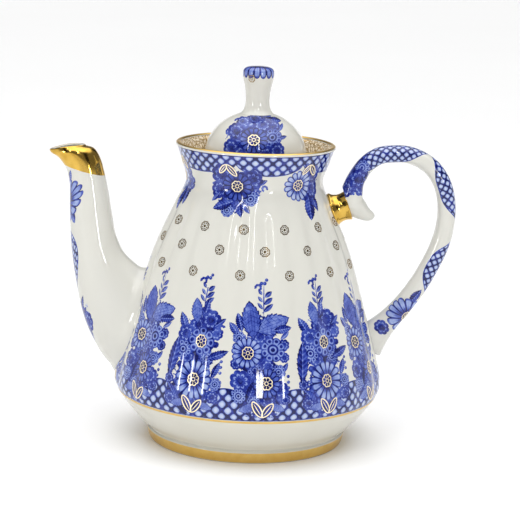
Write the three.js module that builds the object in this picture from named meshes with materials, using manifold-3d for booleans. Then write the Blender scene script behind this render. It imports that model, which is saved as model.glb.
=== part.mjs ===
// A porcelain teapot with a fluted, bell-shaped body, a swan-neck spout, a loop handle
// luted to a short gilded socket, and a domed lid with a knob that drops into the collar.
// Millimetres, +Z up. The origin is on the surface it stands on, below the body's axis.
// The spout points along -X and the handle along +X.

import * as THREE from 'three';
import * as BufferGeometryUtils from 'three/addons/utils/BufferGeometryUtils.js';
import Module from 'manifold-3d';

const wasm = await Module();
wasm.setup();

// ---- Driving dimensions ----

const WALL = 3;                 // porcelain wall of the body
const GAP = 0.3;                // clearance where one piece meets its neighbour
const FLUTES = 22;              // rounded ribs around the body, with a flute between each two
const FLUTE_DEPTH = 0.9;        // crest to valley
const STEPS_PER_FLUTE = 4;

const FOOT_RADIUS = 45;         // outside of the foot ring
const FOOT_HEIGHT = 6;
const FOOT_WIDTH = 4.5;         // width of the ring that touches the table
const RECESS = 3.5;             // how far the underside is raised inside the ring
const SEAM_Z = 23.5;              // gilded line where the fluted wall stands on the base
const SEAM_RADIUS = 60.1;
const FLOOR_Z = 8;              // inside floor

const SHOULDER_RADIUS = 61.7;   // widest part of the body
const SHOULDER_Z = 29;
const NECK_RADIUS = 31.3;
const NECK_Z = 121;
const RIM_RADIUS = 36.5;
const RIM_Z = 138.5;

const LEDGE_RADIUS = 28.7;      // inside of the collar just above the lid's ledge
const THROAT_RADIUS = 25;       // opening through that ledge
const LEDGE_Z = 124;
const LEDGE_THICK = 4;

const LID_CLEARANCE = 0.8;      // radial play of the lid in the collar and the throat
const FLANGE_THICK = 2.4;
const SKIRT_DEPTH = 12;
const DOME_RADIUS = 23.2;
const DOME_BASE_Z = 133;
const DOME_RISE = 20;
const LID_WALL = 2.6;
const VENT_RADIUS = 1.4;
const VENT_OFFSET = 16;
const KNOB_FOOT_RADIUS = 7;
const KNOB_STEM_RADIUS = 5.4;
const KNOB_TOP_RADIUS = 7.2;
const KNOB_TOP_Z = 173.5;

const SPOUT_WALL = 2.2;
const STRAINER_HOLE = 2;        // radius of each strainer hole
const STRAINER_PITCH = 8;
const STRAINER_Z = 52;          // height of the strainer's middle

const SOCKET_RADIUS = 6.2;      // gilded socket that carries the top of the handle
const SOCKET_SLOPE = 19;        // degrees above the horizontal
const SOCKET_END = new THREE.Vector2(43, 111.1);
const SOCKET_LENGTH = 11.3;

// ---- Materials ----

const glaze = new THREE.MeshStandardMaterial({ color: 0xe8e9e2, roughness: 0.12, metalness: 0 });
const blueGlaze = new THREE.MeshStandardMaterial({ color: 0x8f9fd8, roughness: 0.12, metalness: 0 });
const gilding = new THREE.MeshStandardMaterial({ color: 0xc9a24b, roughness: 0.22, metalness: 1 });

// ---- Solids ----

// Triangles whose corners all differ, with their winding turned if they face inwards.
function outwardTriangles(position, index) {
  const corners = [new THREE.Vector3(), new THREE.Vector3(), new THREE.Vector3()];
  const kept = [];
  let volume = 0;
  for (let start = 0; start < index.length; start += 3) {
    const [a, b, c] = index.slice(start, start + 3);
    if (a !== b && b !== c && c !== a) {
      [a, b, c].forEach((vertex, slot) => corners[slot].fromBufferAttribute(position, vertex));
      volume += corners[0].dot(corners[1].clone().cross(corners[2]));
      kept.push([a, b, c]);
    }
  }
  return kept.flatMap(([a, b, c]) => (volume < 0 ? [a, c, b] : [a, b, c]));
}

function toSolid(geometry) {
  const bare = geometry.clone();
  bare.deleteAttribute('normal');
  bare.deleteAttribute('uv');
  const merged = BufferGeometryUtils.mergeVertices(bare, 1e-4);
  const position = merged.attributes.position;
  const mesh = new wasm.Mesh({
    numProp: 3,
    vertProperties: new Float32Array(position.array),
    triVerts: new Uint32Array(outwardTriangles(position, Array.from(merged.index.array))),
  });
  return new wasm.Manifold(mesh);
}

function toGeometry(solid) {
  const mesh = solid.getMesh();
  const geometry = new THREE.BufferGeometry();
  geometry.setAttribute('position', new THREE.BufferAttribute(new Float32Array(mesh.vertProperties), 3));
  geometry.setIndex(new THREE.BufferAttribute(new Uint32Array(mesh.triVerts), 1));
  geometry.computeVertexNormals();
  return geometry;
}

// A closed surface through rings of points, with both ends filled in.
function loft(rings) {
  const count = rings[0].length;
  const positions = [];
  const index = [];
  rings.forEach((ring) => ring.forEach((point) => positions.push(point.x, point.y, point.z)));
  for (let row = 0; row < rings.length - 1; row += 1) {
    for (let step = 0; step < count; step += 1) {
      const a = row * count + step;
      const b = row * count + ((step + 1) % count);
      index.push(a, b, b + count, a, b + count, a + count);
    }
  }
  [0, rings.length - 1].forEach((row, end) => {
    const centre = new THREE.Vector3();
    rings[row].forEach((point) => centre.addScaledVector(point, 1 / count));
    const hub = positions.length / 3;
    positions.push(centre.x, centre.y, centre.z);
    for (let step = 0; step < count; step += 1) {
      const a = row * count + step;
      const b = row * count + ((step + 1) % count);
      index.push(hub, end === 0 ? b : a, end === 0 ? a : b);
    }
  });
  const geometry = new THREE.BufferGeometry();
  geometry.setAttribute('position', new THREE.Float32BufferAttribute(positions, 3));
  geometry.setIndex(index);
  return geometry;
}

// A closed solid of revolution about Z. The outline is [radius, height] points from the
// axis at the bottom round to the axis at the top.
function revolve(outline, segments) {
  const points = outline.map(([radius, height]) => new THREE.Vector2(radius, height));
  const geometry = new THREE.LatheGeometry(points, segments);
  geometry.rotateX(Math.PI / 2);
  return toSolid(geometry);
}

function cylinder(radius, length, segments, centre, direction) {
  const geometry = new THREE.CylinderGeometry(radius, radius, length, segments);
  const turn = new THREE.Quaternion().setFromUnitVectors(
    new THREE.Vector3(0, 1, 0),
    direction.clone().normalize(),
  );
  geometry.applyQuaternion(turn);
  geometry.translate(centre.x, centre.y, centre.z);
  return toSolid(geometry);
}

// ---- Body outline ----

const flank = new THREE.SplineCurve([
  new THREE.Vector2(SEAM_RADIUS, SEAM_Z),
  new THREE.Vector2(61.3, 26.2),
  new THREE.Vector2(SHOULDER_RADIUS, SHOULDER_Z),
  new THREE.Vector2(60.8, 36.5),
  new THREE.Vector2(55.3, 56),
  new THREE.Vector2(46, 87),
  new THREE.Vector2(36.2, 110),
  new THREE.Vector2(NECK_RADIUS, NECK_Z),
  new THREE.Vector2(33.6, 130),
  new THREE.Vector2(RIM_RADIUS, RIM_Z),
]);

const FLANK_ROWS = 22;
const flankPoints = flank.getPoints(FLANK_ROWS);

// The ribs run the whole flank and die out under the collar and at the seam. One rib's crest
// faces straight along -Y.
const FLUTE_FADE = 7;
const FLUTE_TOP_Z = 118;

function fluteStrength(z) {
  const fromSeam = THREE.MathUtils.smoothstep(z, SEAM_Z, SEAM_Z + FLUTE_FADE);
  const fromCollar = 1 - THREE.MathUtils.smoothstep(z, FLUTE_TOP_Z - 2 * FLUTE_FADE, FLUTE_TOP_Z);
  return fromSeam * fromCollar;
}

function flankRing(point, offset) {
  const count = FLUTES * STEPS_PER_FLUTE;
  const ring = [];
  for (let step = 0; step < count; step += 1) {
    const angle = (step / count) * Math.PI * 2;
    const wave = 0.5 - 0.5 * Math.cos((angle + Math.PI / 2) * FLUTES);
    const radius = point.x + offset - FLUTE_DEPTH * fluteStrength(point.y) * wave;
    ring.push(new THREE.Vector3(radius * Math.cos(angle), radius * Math.sin(angle), point.y));
  }
  return ring;
}

// The outside of the fluted wall, filled in, and moved out by an offset.
function flankSolid(offset) {
  return toSolid(loft(flankPoints.map((point) => flankRing(point, offset))));
}

// ---- Spout ----

// Sections of the spout from inside the pot to the mouth: middle [x, z], the slope of the
// section's long axis in degrees, half its height, and half its width.
const SPOUT_SECTIONS = [
  { x: -43.8, z: 47.2, slope: -52, tall: 23.7, wide: 16 },
  { x: -55.5, z: 54.8, slope: -60, tall: 22.2, wide: 15 },
  { x: -63.1, z: 62.6, slope: -63, tall: 20.2, wide: 13.9 },
  { x: -68.3, z: 71, slope: -61, tall: 17.8, wide: 12.7 },
  { x: -72, z: 83.5, slope: -52, tall: 14.3, wide: 11.2 },
  { x: -74.2, z: 97.5, slope: -36, tall: 11.4, wide: 9.8 },
  { x: -75.4, z: 109.5, slope: -24, tall: 9.6, wide: 8.8 },
  { x: -76.4, z: 118.5, slope: -17, tall: 8.4, wide: 8.1 },
  { x: -78.1, z: 125.3, slope: -14, tall: 8.2, wide: 7.6 },
  { x: -80.4, z: 130.2, slope: -10, tall: 9.2, wide: 7.2 },
  { x: -83, z: 132.4, slope: -9, tall: 10.1, wide: 6.9 },
  { x: -85, z: 133.6, slope: -8, tall: 9.1, wide: 6.1 },
];
const SPOUT_SIDES = 32;

function spoutRing(section, inset) {
  const slope = THREE.MathUtils.degToRad(section.slope);
  const ring = [];
  for (let step = 0; step < SPOUT_SIDES; step += 1) {
    const angle = (step / SPOUT_SIDES) * Math.PI * 2;
    const along = (section.tall - inset) * Math.cos(angle);
    const across = (section.wide - inset) * Math.sin(angle);
    const x = section.x + along * Math.cos(slope);
    const z = section.z - along * Math.sin(slope);
    ring.push(new THREE.Vector3(x, across, z));
  }
  return ring;
}

function spoutTube(inset, stretch) {
  const rings = SPOUT_SECTIONS.map((section) => spoutRing(section, inset));
  const last = rings[rings.length - 1];
  if (stretch > 0) {
    rings.push(last.map((point) => new THREE.Vector3(point.x - stretch * 0.2, point.y, point.z + stretch)));
  }
  return toSolid(loft(rings));
}

function makeSpout(keepOut) {
  const mouthStretch = 4;
  const innerEnd = spoutTube(SPOUT_WALL, mouthStretch);
  return spoutTube(0, 0).subtract(innerEnd).subtract(keepOut);
}

// ---- Pot body: fluted wall, collar and lid ledge, with the strainer holes behind the spout ----

function bodyInside() {
  const inner = flankPoints
    .filter((point) => point.y < LEDGE_Z - LEDGE_THICK - WALL)
    .map((point) => [point.x - WALL - FLUTE_DEPTH, point.y]);
  inner[0] = [SEAM_RADIUS - WALL, SEAM_Z];
  const collar = flankPoints
    .filter((point) => point.y > LEDGE_Z + 1)
    .map((point) => [point.x - WALL + 0.4, point.y]);
  return revolve([
    [0, SEAM_Z - WALL],
    [SEAM_RADIUS - WALL, SEAM_Z - WALL],
    ...inner,
    [THROAT_RADIUS, LEDGE_Z - LEDGE_THICK],
    [THROAT_RADIUS, LEDGE_Z],
    [LEDGE_RADIUS, LEDGE_Z],
    ...collar,
    [RIM_RADIUS - WALL + 0.8, RIM_Z + WALL],
    [0, RIM_Z + WALL],
  ], FLUTES * 2);
}

// Holes in a honeycomb: one in the middle and a ring of six.
function strainerHoles() {
  const direction = new THREE.Vector3(-1, 0, 0.3).normalize();
  const up = new THREE.Vector3(0.3, 0, 1).normalize();
  const side = new THREE.Vector3(0, 1, 0);
  const middle = new THREE.Vector3(-53.5, 0, STRAINER_Z);
  const holes = [middle.clone()];
  for (let step = 0; step < 6; step += 1) {
    const angle = (step / 6) * Math.PI * 2;
    holes.push(middle.clone()
      .addScaledVector(side, STRAINER_PITCH * Math.cos(angle))
      .addScaledVector(up, STRAINER_PITCH * Math.sin(angle)));
  }
  return holes.map((centre) => cylinder(STRAINER_HOLE, 6 * WALL, 12, centre, direction));
}

function makeBody() {
  let solid = flankSolid(0).subtract(bodyInside());
  strainerHoles().forEach((hole) => {
    solid = solid.subtract(hole);
  });
  return solid;
}

// ---- Base: a tapered pan with a foot ring ----

function makeBase() {
  const outside = [
    [FOOT_RADIUS - FOOT_WIDTH, 0],
    [FOOT_RADIUS - 0.6, 0],
    [FOOT_RADIUS, 1.2],
    [FOOT_RADIUS + 0.6, FOOT_HEIGHT - 1],
    [FOOT_RADIUS + 0.2, FOOT_HEIGHT + 0.2],
    [FOOT_RADIUS + 1.6, FOOT_HEIGHT + 1.2],
    [FOOT_RADIUS + 5.2, 11],
    [FOOT_RADIUS + 9.6, 15.6],
    [FOOT_RADIUS + 13, 20],
    [SEAM_RADIUS, SEAM_Z],
  ];
  const inside = [
    [SEAM_RADIUS - WALL, SEAM_Z],
    [FOOT_RADIUS + 10, 19.8],
    [FOOT_RADIUS + 5.6, 15.2],
    [FOOT_RADIUS + 0.8, 11],
    [FOOT_RADIUS - 5, 8.6],
    [0, FLOOR_Z],
  ];
  const underside = [
    [0, RECESS],
    [FOOT_RADIUS - FOOT_WIDTH - 2.5, RECESS],
    [FOOT_RADIUS - FOOT_WIDTH - 0.8, RECESS - 1],
  ];
  return revolve([...underside, ...outside, ...inside], 64);
}

// ---- Lid: flange, skirt and hollow dome, and the knob on top ----

function domeOutline(shrink, fromAngle, toAngle, count) {
  const points = [];
  for (let step = 0; step <= count; step += 1) {
    const angle = THREE.MathUtils.degToRad(fromAngle + ((toAngle - fromAngle) * step) / count);
    points.push([
      (DOME_RADIUS - shrink) * Math.cos(angle),
      DOME_BASE_Z + (DOME_RISE - shrink) * Math.sin(angle),
    ]);
  }
  return points;
}

function domeTop(radius) {
  return DOME_BASE_Z + DOME_RISE * Math.sqrt(1 - (radius / DOME_RADIUS) ** 2);
}

function makeLid() {
  const bottom = LEDGE_Z + GAP;
  const skirtRadius = THROAT_RADIUS - LID_CLEARANCE;
  const skirtInside = skirtRadius - LID_WALL;
  const flangeRadius = LEDGE_RADIUS - LID_CLEARANCE;
  const crownAngle = THREE.MathUtils.radToDeg(Math.acos(KNOB_FOOT_RADIUS / DOME_RADIUS));
  const inside = [
    [0, DOME_BASE_Z + DOME_RISE - LID_WALL],
    ...domeOutline(LID_WALL, 90, 0, 8).slice(1),
    [skirtInside, bottom],
    [skirtInside, bottom - SKIRT_DEPTH],
  ];
  const outside = [
    [skirtRadius - 0.4, bottom - SKIRT_DEPTH],
    [skirtRadius, bottom],
    [flangeRadius, bottom],
    [flangeRadius, bottom + FLANGE_THICK],
    [DOME_RADIUS + 0.6, bottom + FLANGE_THICK + 0.8],
    ...domeOutline(0, 0, crownAngle, 10),
    [0, domeTop(KNOB_FOOT_RADIUS)],
  ];
  const vent = cylinder(
    VENT_RADIUS,
    20,
    12,
    new THREE.Vector3(0, VENT_OFFSET, domeTop(VENT_OFFSET)),
    new THREE.Vector3(0, 0.5, 1),
  );
  return revolve([...inside, ...outside], 48).subtract(vent);
}

function makeKnob() {
  const foot = domeTop(KNOB_FOOT_RADIUS) + GAP;
  const outline = new THREE.SplineCurve([
    new THREE.Vector2(KNOB_FOOT_RADIUS, foot),
    new THREE.Vector2(KNOB_STEM_RADIUS + 0.2, 155.4),
    new THREE.Vector2(KNOB_STEM_RADIUS, 158.4),
    new THREE.Vector2(KNOB_STEM_RADIUS + 0.7, 163),
    new THREE.Vector2(KNOB_TOP_RADIUS - 0.1, 168.4),
    new THREE.Vector2(KNOB_TOP_RADIUS - 0.1, 171.2),
    new THREE.Vector2(KNOB_TOP_RADIUS - 2, 172.9),
    new THREE.Vector2(0, KNOB_TOP_Z),
  ]).getPoints(18).map((point) => [Math.max(0, point.x), Math.min(KNOB_TOP_Z, point.y)]);
  return revolve([[0, foot], ...outline], 28);
}

// ---- Handle and its socket ----

// A slightly waisted cylinder that stands square on the flank.
function makeSocket(keepOut) {
  const profile = [
    [0, -SOCKET_LENGTH],
    [SOCKET_RADIUS + 1.1, -SOCKET_LENGTH],
    [SOCKET_RADIUS + 0.9, -SOCKET_LENGTH * 0.62],
    [SOCKET_RADIUS + 0.1, -SOCKET_LENGTH * 0.4],
    [SOCKET_RADIUS, -SOCKET_LENGTH * 0.2],
    [SOCKET_RADIUS + 0.3, 0],
    [0, 0],
  ].map(([radius, height]) => new THREE.Vector2(radius, height));
  const geometry = new THREE.LatheGeometry(profile, 40);
  geometry.rotateZ(THREE.MathUtils.degToRad(SOCKET_SLOPE) - Math.PI / 2);
  geometry.rotateX(Math.PI / 2);
  geometry.translate(SOCKET_END.x, 0, SOCKET_END.y);
  return toSolid(geometry).subtract(keepOut);
}

// Middle line of the handle from the socket round to the lower body: [x, z, half the
// thickness in the plane of the loop, half the width across it].
const HANDLE_SECTIONS = [
  [44, 110.9, 6, 6.2],
  [44.5, 116.5, 5.2, 5.9],
  [46, 122.8, 4.3, 5.5],
  [50.3, 130, 4, 5.2],
  [56, 134.4, 3.9, 5.1],
  [62.4, 135.7, 3.9, 5.1],
  [69.2, 135.6, 3.9, 5],
  [76, 133.3, 3.9, 5],
  [82, 128.7, 4, 5],
  [86.4, 121.4, 4.1, 5],
  [88.4, 112.6, 4.2, 5],
  [88.2, 103.6, 4.2, 5],
  [86.2, 94.6, 4.3, 5.1],
  [82.4, 85.2, 4.3, 5.2],
  [77.4, 75.6, 4.4, 5.4],
  [71.4, 66.7, 4.5, 5.7],
  [64.7, 58.6, 5, 6.1],
  [58.9, 51.9, 6.6, 6.8],
  [54, 45.5, 8.6, 7],
];
const HANDLE_SIDES = 20;

function handleLoop() {
  const path = new THREE.SplineCurve(HANDLE_SECTIONS.map(([x, z]) => new THREE.Vector2(x, z)));
  const last = HANDLE_SECTIONS.length - 1;
  const rings = HANDLE_SECTIONS.map(([x, z, thick, wide], row) => {
    const tangent = path.getTangent(row / last);
    const ring = [];
    for (let step = 0; step < HANDLE_SIDES; step += 1) {
      const angle = (step / HANDLE_SIDES) * Math.PI * 2;
      const inPlane = thick * Math.cos(angle);
      const across = -wide * Math.sin(angle);
      ring.push(new THREE.Vector3(x - inPlane * tangent.y, across, z + inPlane * tangent.x));
    }
    return ring;
  });
  return toSolid(loft(rings));
}

// Thumb spur: a short scroll that turns out from the socket into the loop.
const SPUR_SECTIONS = [
  [44, 112.6, 5],
  [47.6, 110.2, 4.4],
  [50.2, 107.9, 3.2],
  [52.6, 106.8, 2.4],
  [54.6, 106.7, 1.7],
  [55.6, 106.9, 0.8],
];

function thumbSpur() {
  const path = new THREE.SplineCurve(SPUR_SECTIONS.map(([x, z]) => new THREE.Vector2(x, z)));
  const last = SPUR_SECTIONS.length - 1;
  const rings = SPUR_SECTIONS.map(([x, z, radius], row) => {
    const tangent = path.getTangent(row / last);
    const ring = [];
    for (let step = 0; step < HANDLE_SIDES; step += 1) {
      const angle = (step / HANDLE_SIDES) * Math.PI * 2;
      const inPlane = radius * Math.cos(angle);
      const across = -radius * 1.15 * Math.sin(angle);
      ring.push(new THREE.Vector3(x - inPlane * tangent.y, across, z + inPlane * tangent.x));
    }
    return ring;
  });
  return toSolid(loft(rings));
}

// A block that ends just beyond the socket's end face, where the handle starts.
function socketSide() {
  const size = 40;
  const geometry = new THREE.BoxGeometry(size, size, size);
  geometry.translate(GAP - size / 2, 0, 0);
  geometry.rotateY(-THREE.MathUtils.degToRad(SOCKET_SLOPE));
  geometry.translate(SOCKET_END.x, 0, SOCKET_END.y);
  return toSolid(geometry);
}

function makeHandle(keepOut) {
  return handleLoop().add(thumbSpur()).subtract(socketSide()).subtract(keepOut);
}

// ---- Assembly ----

function addPiece(group, name, solid, material) {
  const mesh = new THREE.Mesh(toGeometry(solid), material);
  mesh.name = name;
  group.add(mesh);
}

const bodyKeepOut = flankSolid(GAP);

const teapot = new THREE.Group();
addPiece(teapot, 'pot_body', makeBody(), blueGlaze);
addPiece(teapot, 'base_with_foot', makeBase(), glaze);
addPiece(teapot, 'spout', makeSpout(bodyKeepOut), glaze);
addPiece(teapot, 'handle_socket', makeSocket(bodyKeepOut), gilding);
addPiece(teapot, 'handle', makeHandle(bodyKeepOut), glaze);
addPiece(teapot, 'lid', makeLid(), glaze);
addPiece(teapot, 'lid_knob', makeKnob(), blueGlaze);

export default teapot;
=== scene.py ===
"""Porcelain teapot with cobalt underglaze painting and gilding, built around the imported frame.

Lengths are in millimetres, and MM turns them into metres where meshes are made. Every painted
surface is a grid of rows (along the form) and columns (around it). The painting is drawn by
one node material from coordinates that each painted face carries.
"""

import math

import bmesh
import bpy
import numpy as np
from mathutils import Matrix, Vector


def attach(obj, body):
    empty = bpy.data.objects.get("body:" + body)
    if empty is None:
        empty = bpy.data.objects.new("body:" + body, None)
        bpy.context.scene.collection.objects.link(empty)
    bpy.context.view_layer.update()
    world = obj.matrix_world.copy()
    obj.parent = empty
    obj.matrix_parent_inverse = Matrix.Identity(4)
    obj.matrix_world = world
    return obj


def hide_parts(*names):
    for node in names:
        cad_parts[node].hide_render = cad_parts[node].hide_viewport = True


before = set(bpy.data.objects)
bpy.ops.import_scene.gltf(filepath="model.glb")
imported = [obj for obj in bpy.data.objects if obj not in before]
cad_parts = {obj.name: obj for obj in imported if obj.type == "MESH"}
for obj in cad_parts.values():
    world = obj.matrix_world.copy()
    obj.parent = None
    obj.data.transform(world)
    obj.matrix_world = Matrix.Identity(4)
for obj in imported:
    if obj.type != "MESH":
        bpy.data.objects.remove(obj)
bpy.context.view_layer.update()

MM = 0.001
TAU = 2 * math.pi
FRONT = -math.pi / 2            # angle about +Z of the side that faces the camera
POT = "pot"
LID = "lid_body"
UNPAINTED = -99.0               # length given to faces that carry no motifs
OUTSIDE = -9.0                  # field of a net or a wash where there is none

# ---- Driving sizes of the form, as in the frame ----

RIBS = 22
RIB_DEPTH = 0.9
WALL = 3.0
SEAM_Z = 23.5
SEAM_RADIUS = 60.1
RIM_Z = 138.5
LIP_ROUND = 1.1
LIP_CENTRE = (35.35, RIM_Z - LIP_ROUND)
LEDGE_Z = 124.0
LEDGE_RADIUS = 28.7
THROAT_RADIUS = 25.0
RECESS = 3.5
DOME_RADIUS = 23.2
DOME_BASE_Z = 133.0
DOME_RISE = 20.0
FLANK = [(60.1, 23.5), (61.3, 26.2), (61.7, 29), (60.8, 36.5), (55.3, 56), (46, 87), (36.2, 110),
         (31.3, 121), (33.6, 130), (36.5, 138.5)]

# ---- Small maths ----


def smoothstep(low, high, value):
    t = np.clip((value - low) / (high - low), 0, 1)
    return t * t * (3 - 2 * t)


def catmull(points, steps):
    """Points along a uniform Catmull-Rom curve, with `steps` spans between two knots."""
    p = np.asarray(points, float)
    last = len(p) - 1
    out = []
    for i in range(last):
        a, b, c, d = p[max(i - 1, 0)], p[i], p[i + 1], p[min(i + 2, last)]
        for k in range(steps):
            t = k / steps
            out.append(0.5 * (2 * b + (c - a) * t + (2 * a - 5 * b + 4 * c - d) * t * t
                              + (3 * b - a - 3 * c + d) * t ** 3))
    out.append(p[last])
    return np.array(out)


def lengths(curve):
    """Length along a curve up to each of its points."""
    return np.concatenate([[0], np.cumsum(np.linalg.norm(np.diff(curve, axis=0), axis=1))])


def sample(curve, length, at):
    """The curve's points at given lengths."""
    return np.stack([np.interp(at, length, column) for column in curve.T], 1)


def evenly(curve, count):
    """The curve's points at `count` equal steps of its length."""
    curve = np.asarray(curve, float)
    length = lengths(curve)
    return sample(curve, length, np.linspace(0, length[-1], count))


def tangents(curve):
    """Unit direction of a flat curve at each of its points."""
    step = np.gradient(curve, axis=0)
    return step / np.linalg.norm(step, axis=1, keepdims=True)


def arc(centre, radius, start, end, count):
    """[radius, height] points on a round stretch, with angles in degrees."""
    turn = np.radians(np.linspace(start, end, count))
    return np.stack([centre[0] + radius * np.cos(turn), centre[1] + radius * np.sin(turn)], 1)


def turns(count):
    """`count` even angles round a circle."""
    return np.arange(count) * TAU / count


def revolve(radius, height, angle):
    """Points [row, column]: a radius for each row or point, and a height for each row."""
    return np.stack([radius * np.cos(angle), radius * np.sin(angle),
                     np.repeat(height[:, None], len(angle), 1)], -1)


flank_curve = catmull(FLANK, 40)
flank_length = lengths(flank_curve)


def flank_radius(z):
    return np.interp(z, flank_curve[:, 1], flank_curve[:, 0])


def flank_z(length):
    return np.interp(length, flank_length, flank_curve[:, 1])


def flank_at(z):
    """Length along the flank from the seam up to a height."""
    return np.interp(z, flank_curve[:, 1], flank_length)


def body_radius(angle, z):
    """Radius of the fluted flank. The flutes run out towards the shoulder and the collar."""
    fade = smoothstep(SEAM_Z, SEAM_Z + 9, z) * (1 - smoothstep(104, 119, z))
    wave = 0.5 - 0.5 * np.cos((angle - FRONT) * RIBS)
    return flank_radius(z) - RIB_DEPTH * fade * wave ** 1.4


# ---- Meshes ----


def new_object(name, data):
    obj = bpy.data.objects.new(name, data)
    bpy.context.scene.collection.objects.link(obj)
    return obj


class Grid:
    """A closed mesh of rows and columns. Columns go round; rows may go round too."""

    def __init__(self, name, points, wrap_rows=False):
        self.rows, self.cols = points.shape[:2]
        spans = self.rows if wrap_rows else self.rows - 1
        row, col = np.meshgrid(np.arange(spans), np.arange(self.cols), indexing="ij")
        self.corner_row = np.stack([row, row, row + 1, row + 1], -1).reshape(-1, 4) % self.rows
        self.corner_col = np.stack([col, col + 1, col + 1, col], -1).reshape(-1, 4)
        index = self.corner_row * self.cols + self.corner_col % self.cols
        self.mesh = bpy.data.meshes.new(name)
        self.mesh.from_pydata((points.reshape(-1, 3) * MM).tolist(), [], index.tolist())
        self.obj = new_object(name, self.mesh)

    def corners(self, values):
        """Per-corner values from one value for each row."""
        return np.asarray(values)[self.corner_row]

    def angles(self):
        """Per-corner turn about the axis, which never jumps back inside a face."""
        return self.corner_col * TAU / self.cols

    def faces_in_rows(self, first, last):
        row = self.corner_row.min(axis=1)
        return (row >= first) & (row < last) & (self.corner_row.max(axis=1) <= last)

    def finish(self, *materials, index=None):
        """Give the faces their materials, by index where there are several, and tidy up."""
        for material in materials:
            self.mesh.materials.append(material)
        if index is not None:
            self.mesh.polygons.foreach_set("material_index", index.astype(np.int32))
        return tidy(self.obj)


def tidy(obj, merge=True, crease=38):
    """Weld coincident points, turn faces outwards, and smooth all but the sharp edges."""
    mesh = obj.data
    bm = bmesh.new()
    bm.from_mesh(mesh)
    if merge:
        bmesh.ops.remove_doubles(bm, verts=bm.verts, dist=1e-7)
    bmesh.ops.recalc_face_normals(bm, faces=bm.faces)
    bm.to_mesh(mesh)
    bm.free()
    for polygon in mesh.polygons:
        polygon.use_smooth = True
    mesh.set_sharp_from_angle(angle=math.radians(crease))
    return obj


def turned(name, outline, columns, wrap=False):
    """A solid of revolution. The outline runs from axis to axis, or closes on itself."""
    outline = np.asarray(outline, float)
    return Grid(name, revolve(outline[:, 0][:, None], outline[:, 1], turns(columns)), wrap)


def apply_modifiers(obj):
    graph = bpy.context.evaluated_depsgraph_get()
    result = bpy.data.meshes.new_from_object(obj.evaluated_get(graph), depsgraph=graph,
                                             preserve_all_data_layers=True)
    obj.modifiers.clear()
    old = obj.data
    name = old.name
    obj.data = result
    bpy.data.meshes.remove(old)
    result.name = name


def subtract(obj, solid):
    """Cut a bmesh solid from an object, and apply the cut."""
    mesh = bpy.data.meshes.new("cutter")
    solid.to_mesh(mesh)
    solid.free()
    cutter = new_object("cutter", mesh)
    cut = obj.modifiers.new("cut", "BOOLEAN")
    cut.operation = "DIFFERENCE"
    cut.solver = "EXACT"
    cut.object = cutter
    apply_modifiers(obj)
    bpy.data.objects.remove(cutter)
    bpy.data.meshes.remove(mesh)


def drill(solid, radius, middle, tilt, axis):
    """Add a short round cutter at a place, tilted in degrees about X or Y."""
    spot = Matrix.Translation(Vector(middle) * MM) @ Matrix.Rotation(math.radians(tilt), 4, axis)
    bmesh.ops.create_cone(solid, cap_ends=True, segments=24, radius1=radius * MM,
                          radius2=radius * MM, depth=16 * MM, matrix=spot)


def place(obj, body, slot_name, *nodes):
    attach(obj, body)
    if nodes:
        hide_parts(*nodes)


# ---- Painted motifs ----
# A motif is (kind, across, up, turn in degrees, half length, half width, shade), in
# millimetres from the middle of its bouquet, listed from the back to the front. A round one
# that isn't turned may be (kind, across, up, half size, shade).

# The round kinds come first, then the long ones.
DAISY, ROSE, RING, BERRY, WASH, CURL, LEAF, TULIP, STEM = range(1, 10)
LAYERS = 6
MARGIN = 1.05                   # a face is painted when a corner is this near the motif


def both_sides(kind, x, y, *form):
    """A motif and its mirror image on the other side of the bouquet's middle."""
    mirrored = (180 - form[0], *form[1:]) if kind >= LEAF else form
    return [(kind, x, y, *form), (kind, -x, y, *mirrored)]


def sprig(x, y, height, lean=90.0):
    """A stem with small leaves on one side, buds at the top and a curl on the other side."""
    turn = math.radians(lean)
    along = lambda t, off=0.0: (x + t * height * math.cos(turn) + off * math.sin(turn),
                                y + t * height * math.sin(turn) - off * math.cos(turn))
    parts = [(STEM, *along(0.5), lean, height / 2, 0.32, 0.4)]
    for step, t in enumerate((0.18, 0.38, 0.58)):
        parts += [(LEAF, *along(t + 0.1, 2.0), lean - 48, 2.9 - 0.4 * step, 1.15, 0.6),
                  (LEAF, *along(t + 0.16, -1.6), lean + 40, 2.0 - 0.3 * step, 0.75, 0.3)]
    return parts + [(CURL, *along(0.88, -2.6), lean, 1.7, 1.7, 0.4),
                    (BERRY, *along(1.0, -1.1), 0.9, 0.4), (BERRY, *along(1.0, 0.4), 0.9, 0.4),
                    (BERRY, *along(1.1, 1.2), 0.8, 0.3)]


def berries(x, y, count, step_x, step_y, size=0.8):
    return [(BERRY, x + k * step_x, y + k * step_y, size, 0.2) for k in range(count)]


# Dark leaves that lie under the gilded leaf outlines.
FOOT_LEAVES = [(LEAF, -1.7, 3.9, 122, 4.6, 2.1, 1.0), (LEAF, 2.9, 3.4, 52, 4.3, 2.1, 1.0)]


def collar_leaves(tip):
    return [(LEAF, tip - 1.7, 7.5, 232, 3.1, 1.5, 1.0), (LEAF, tip + 2.0, 7.0, -52, 3.7, 1.7, 1.0)]


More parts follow.
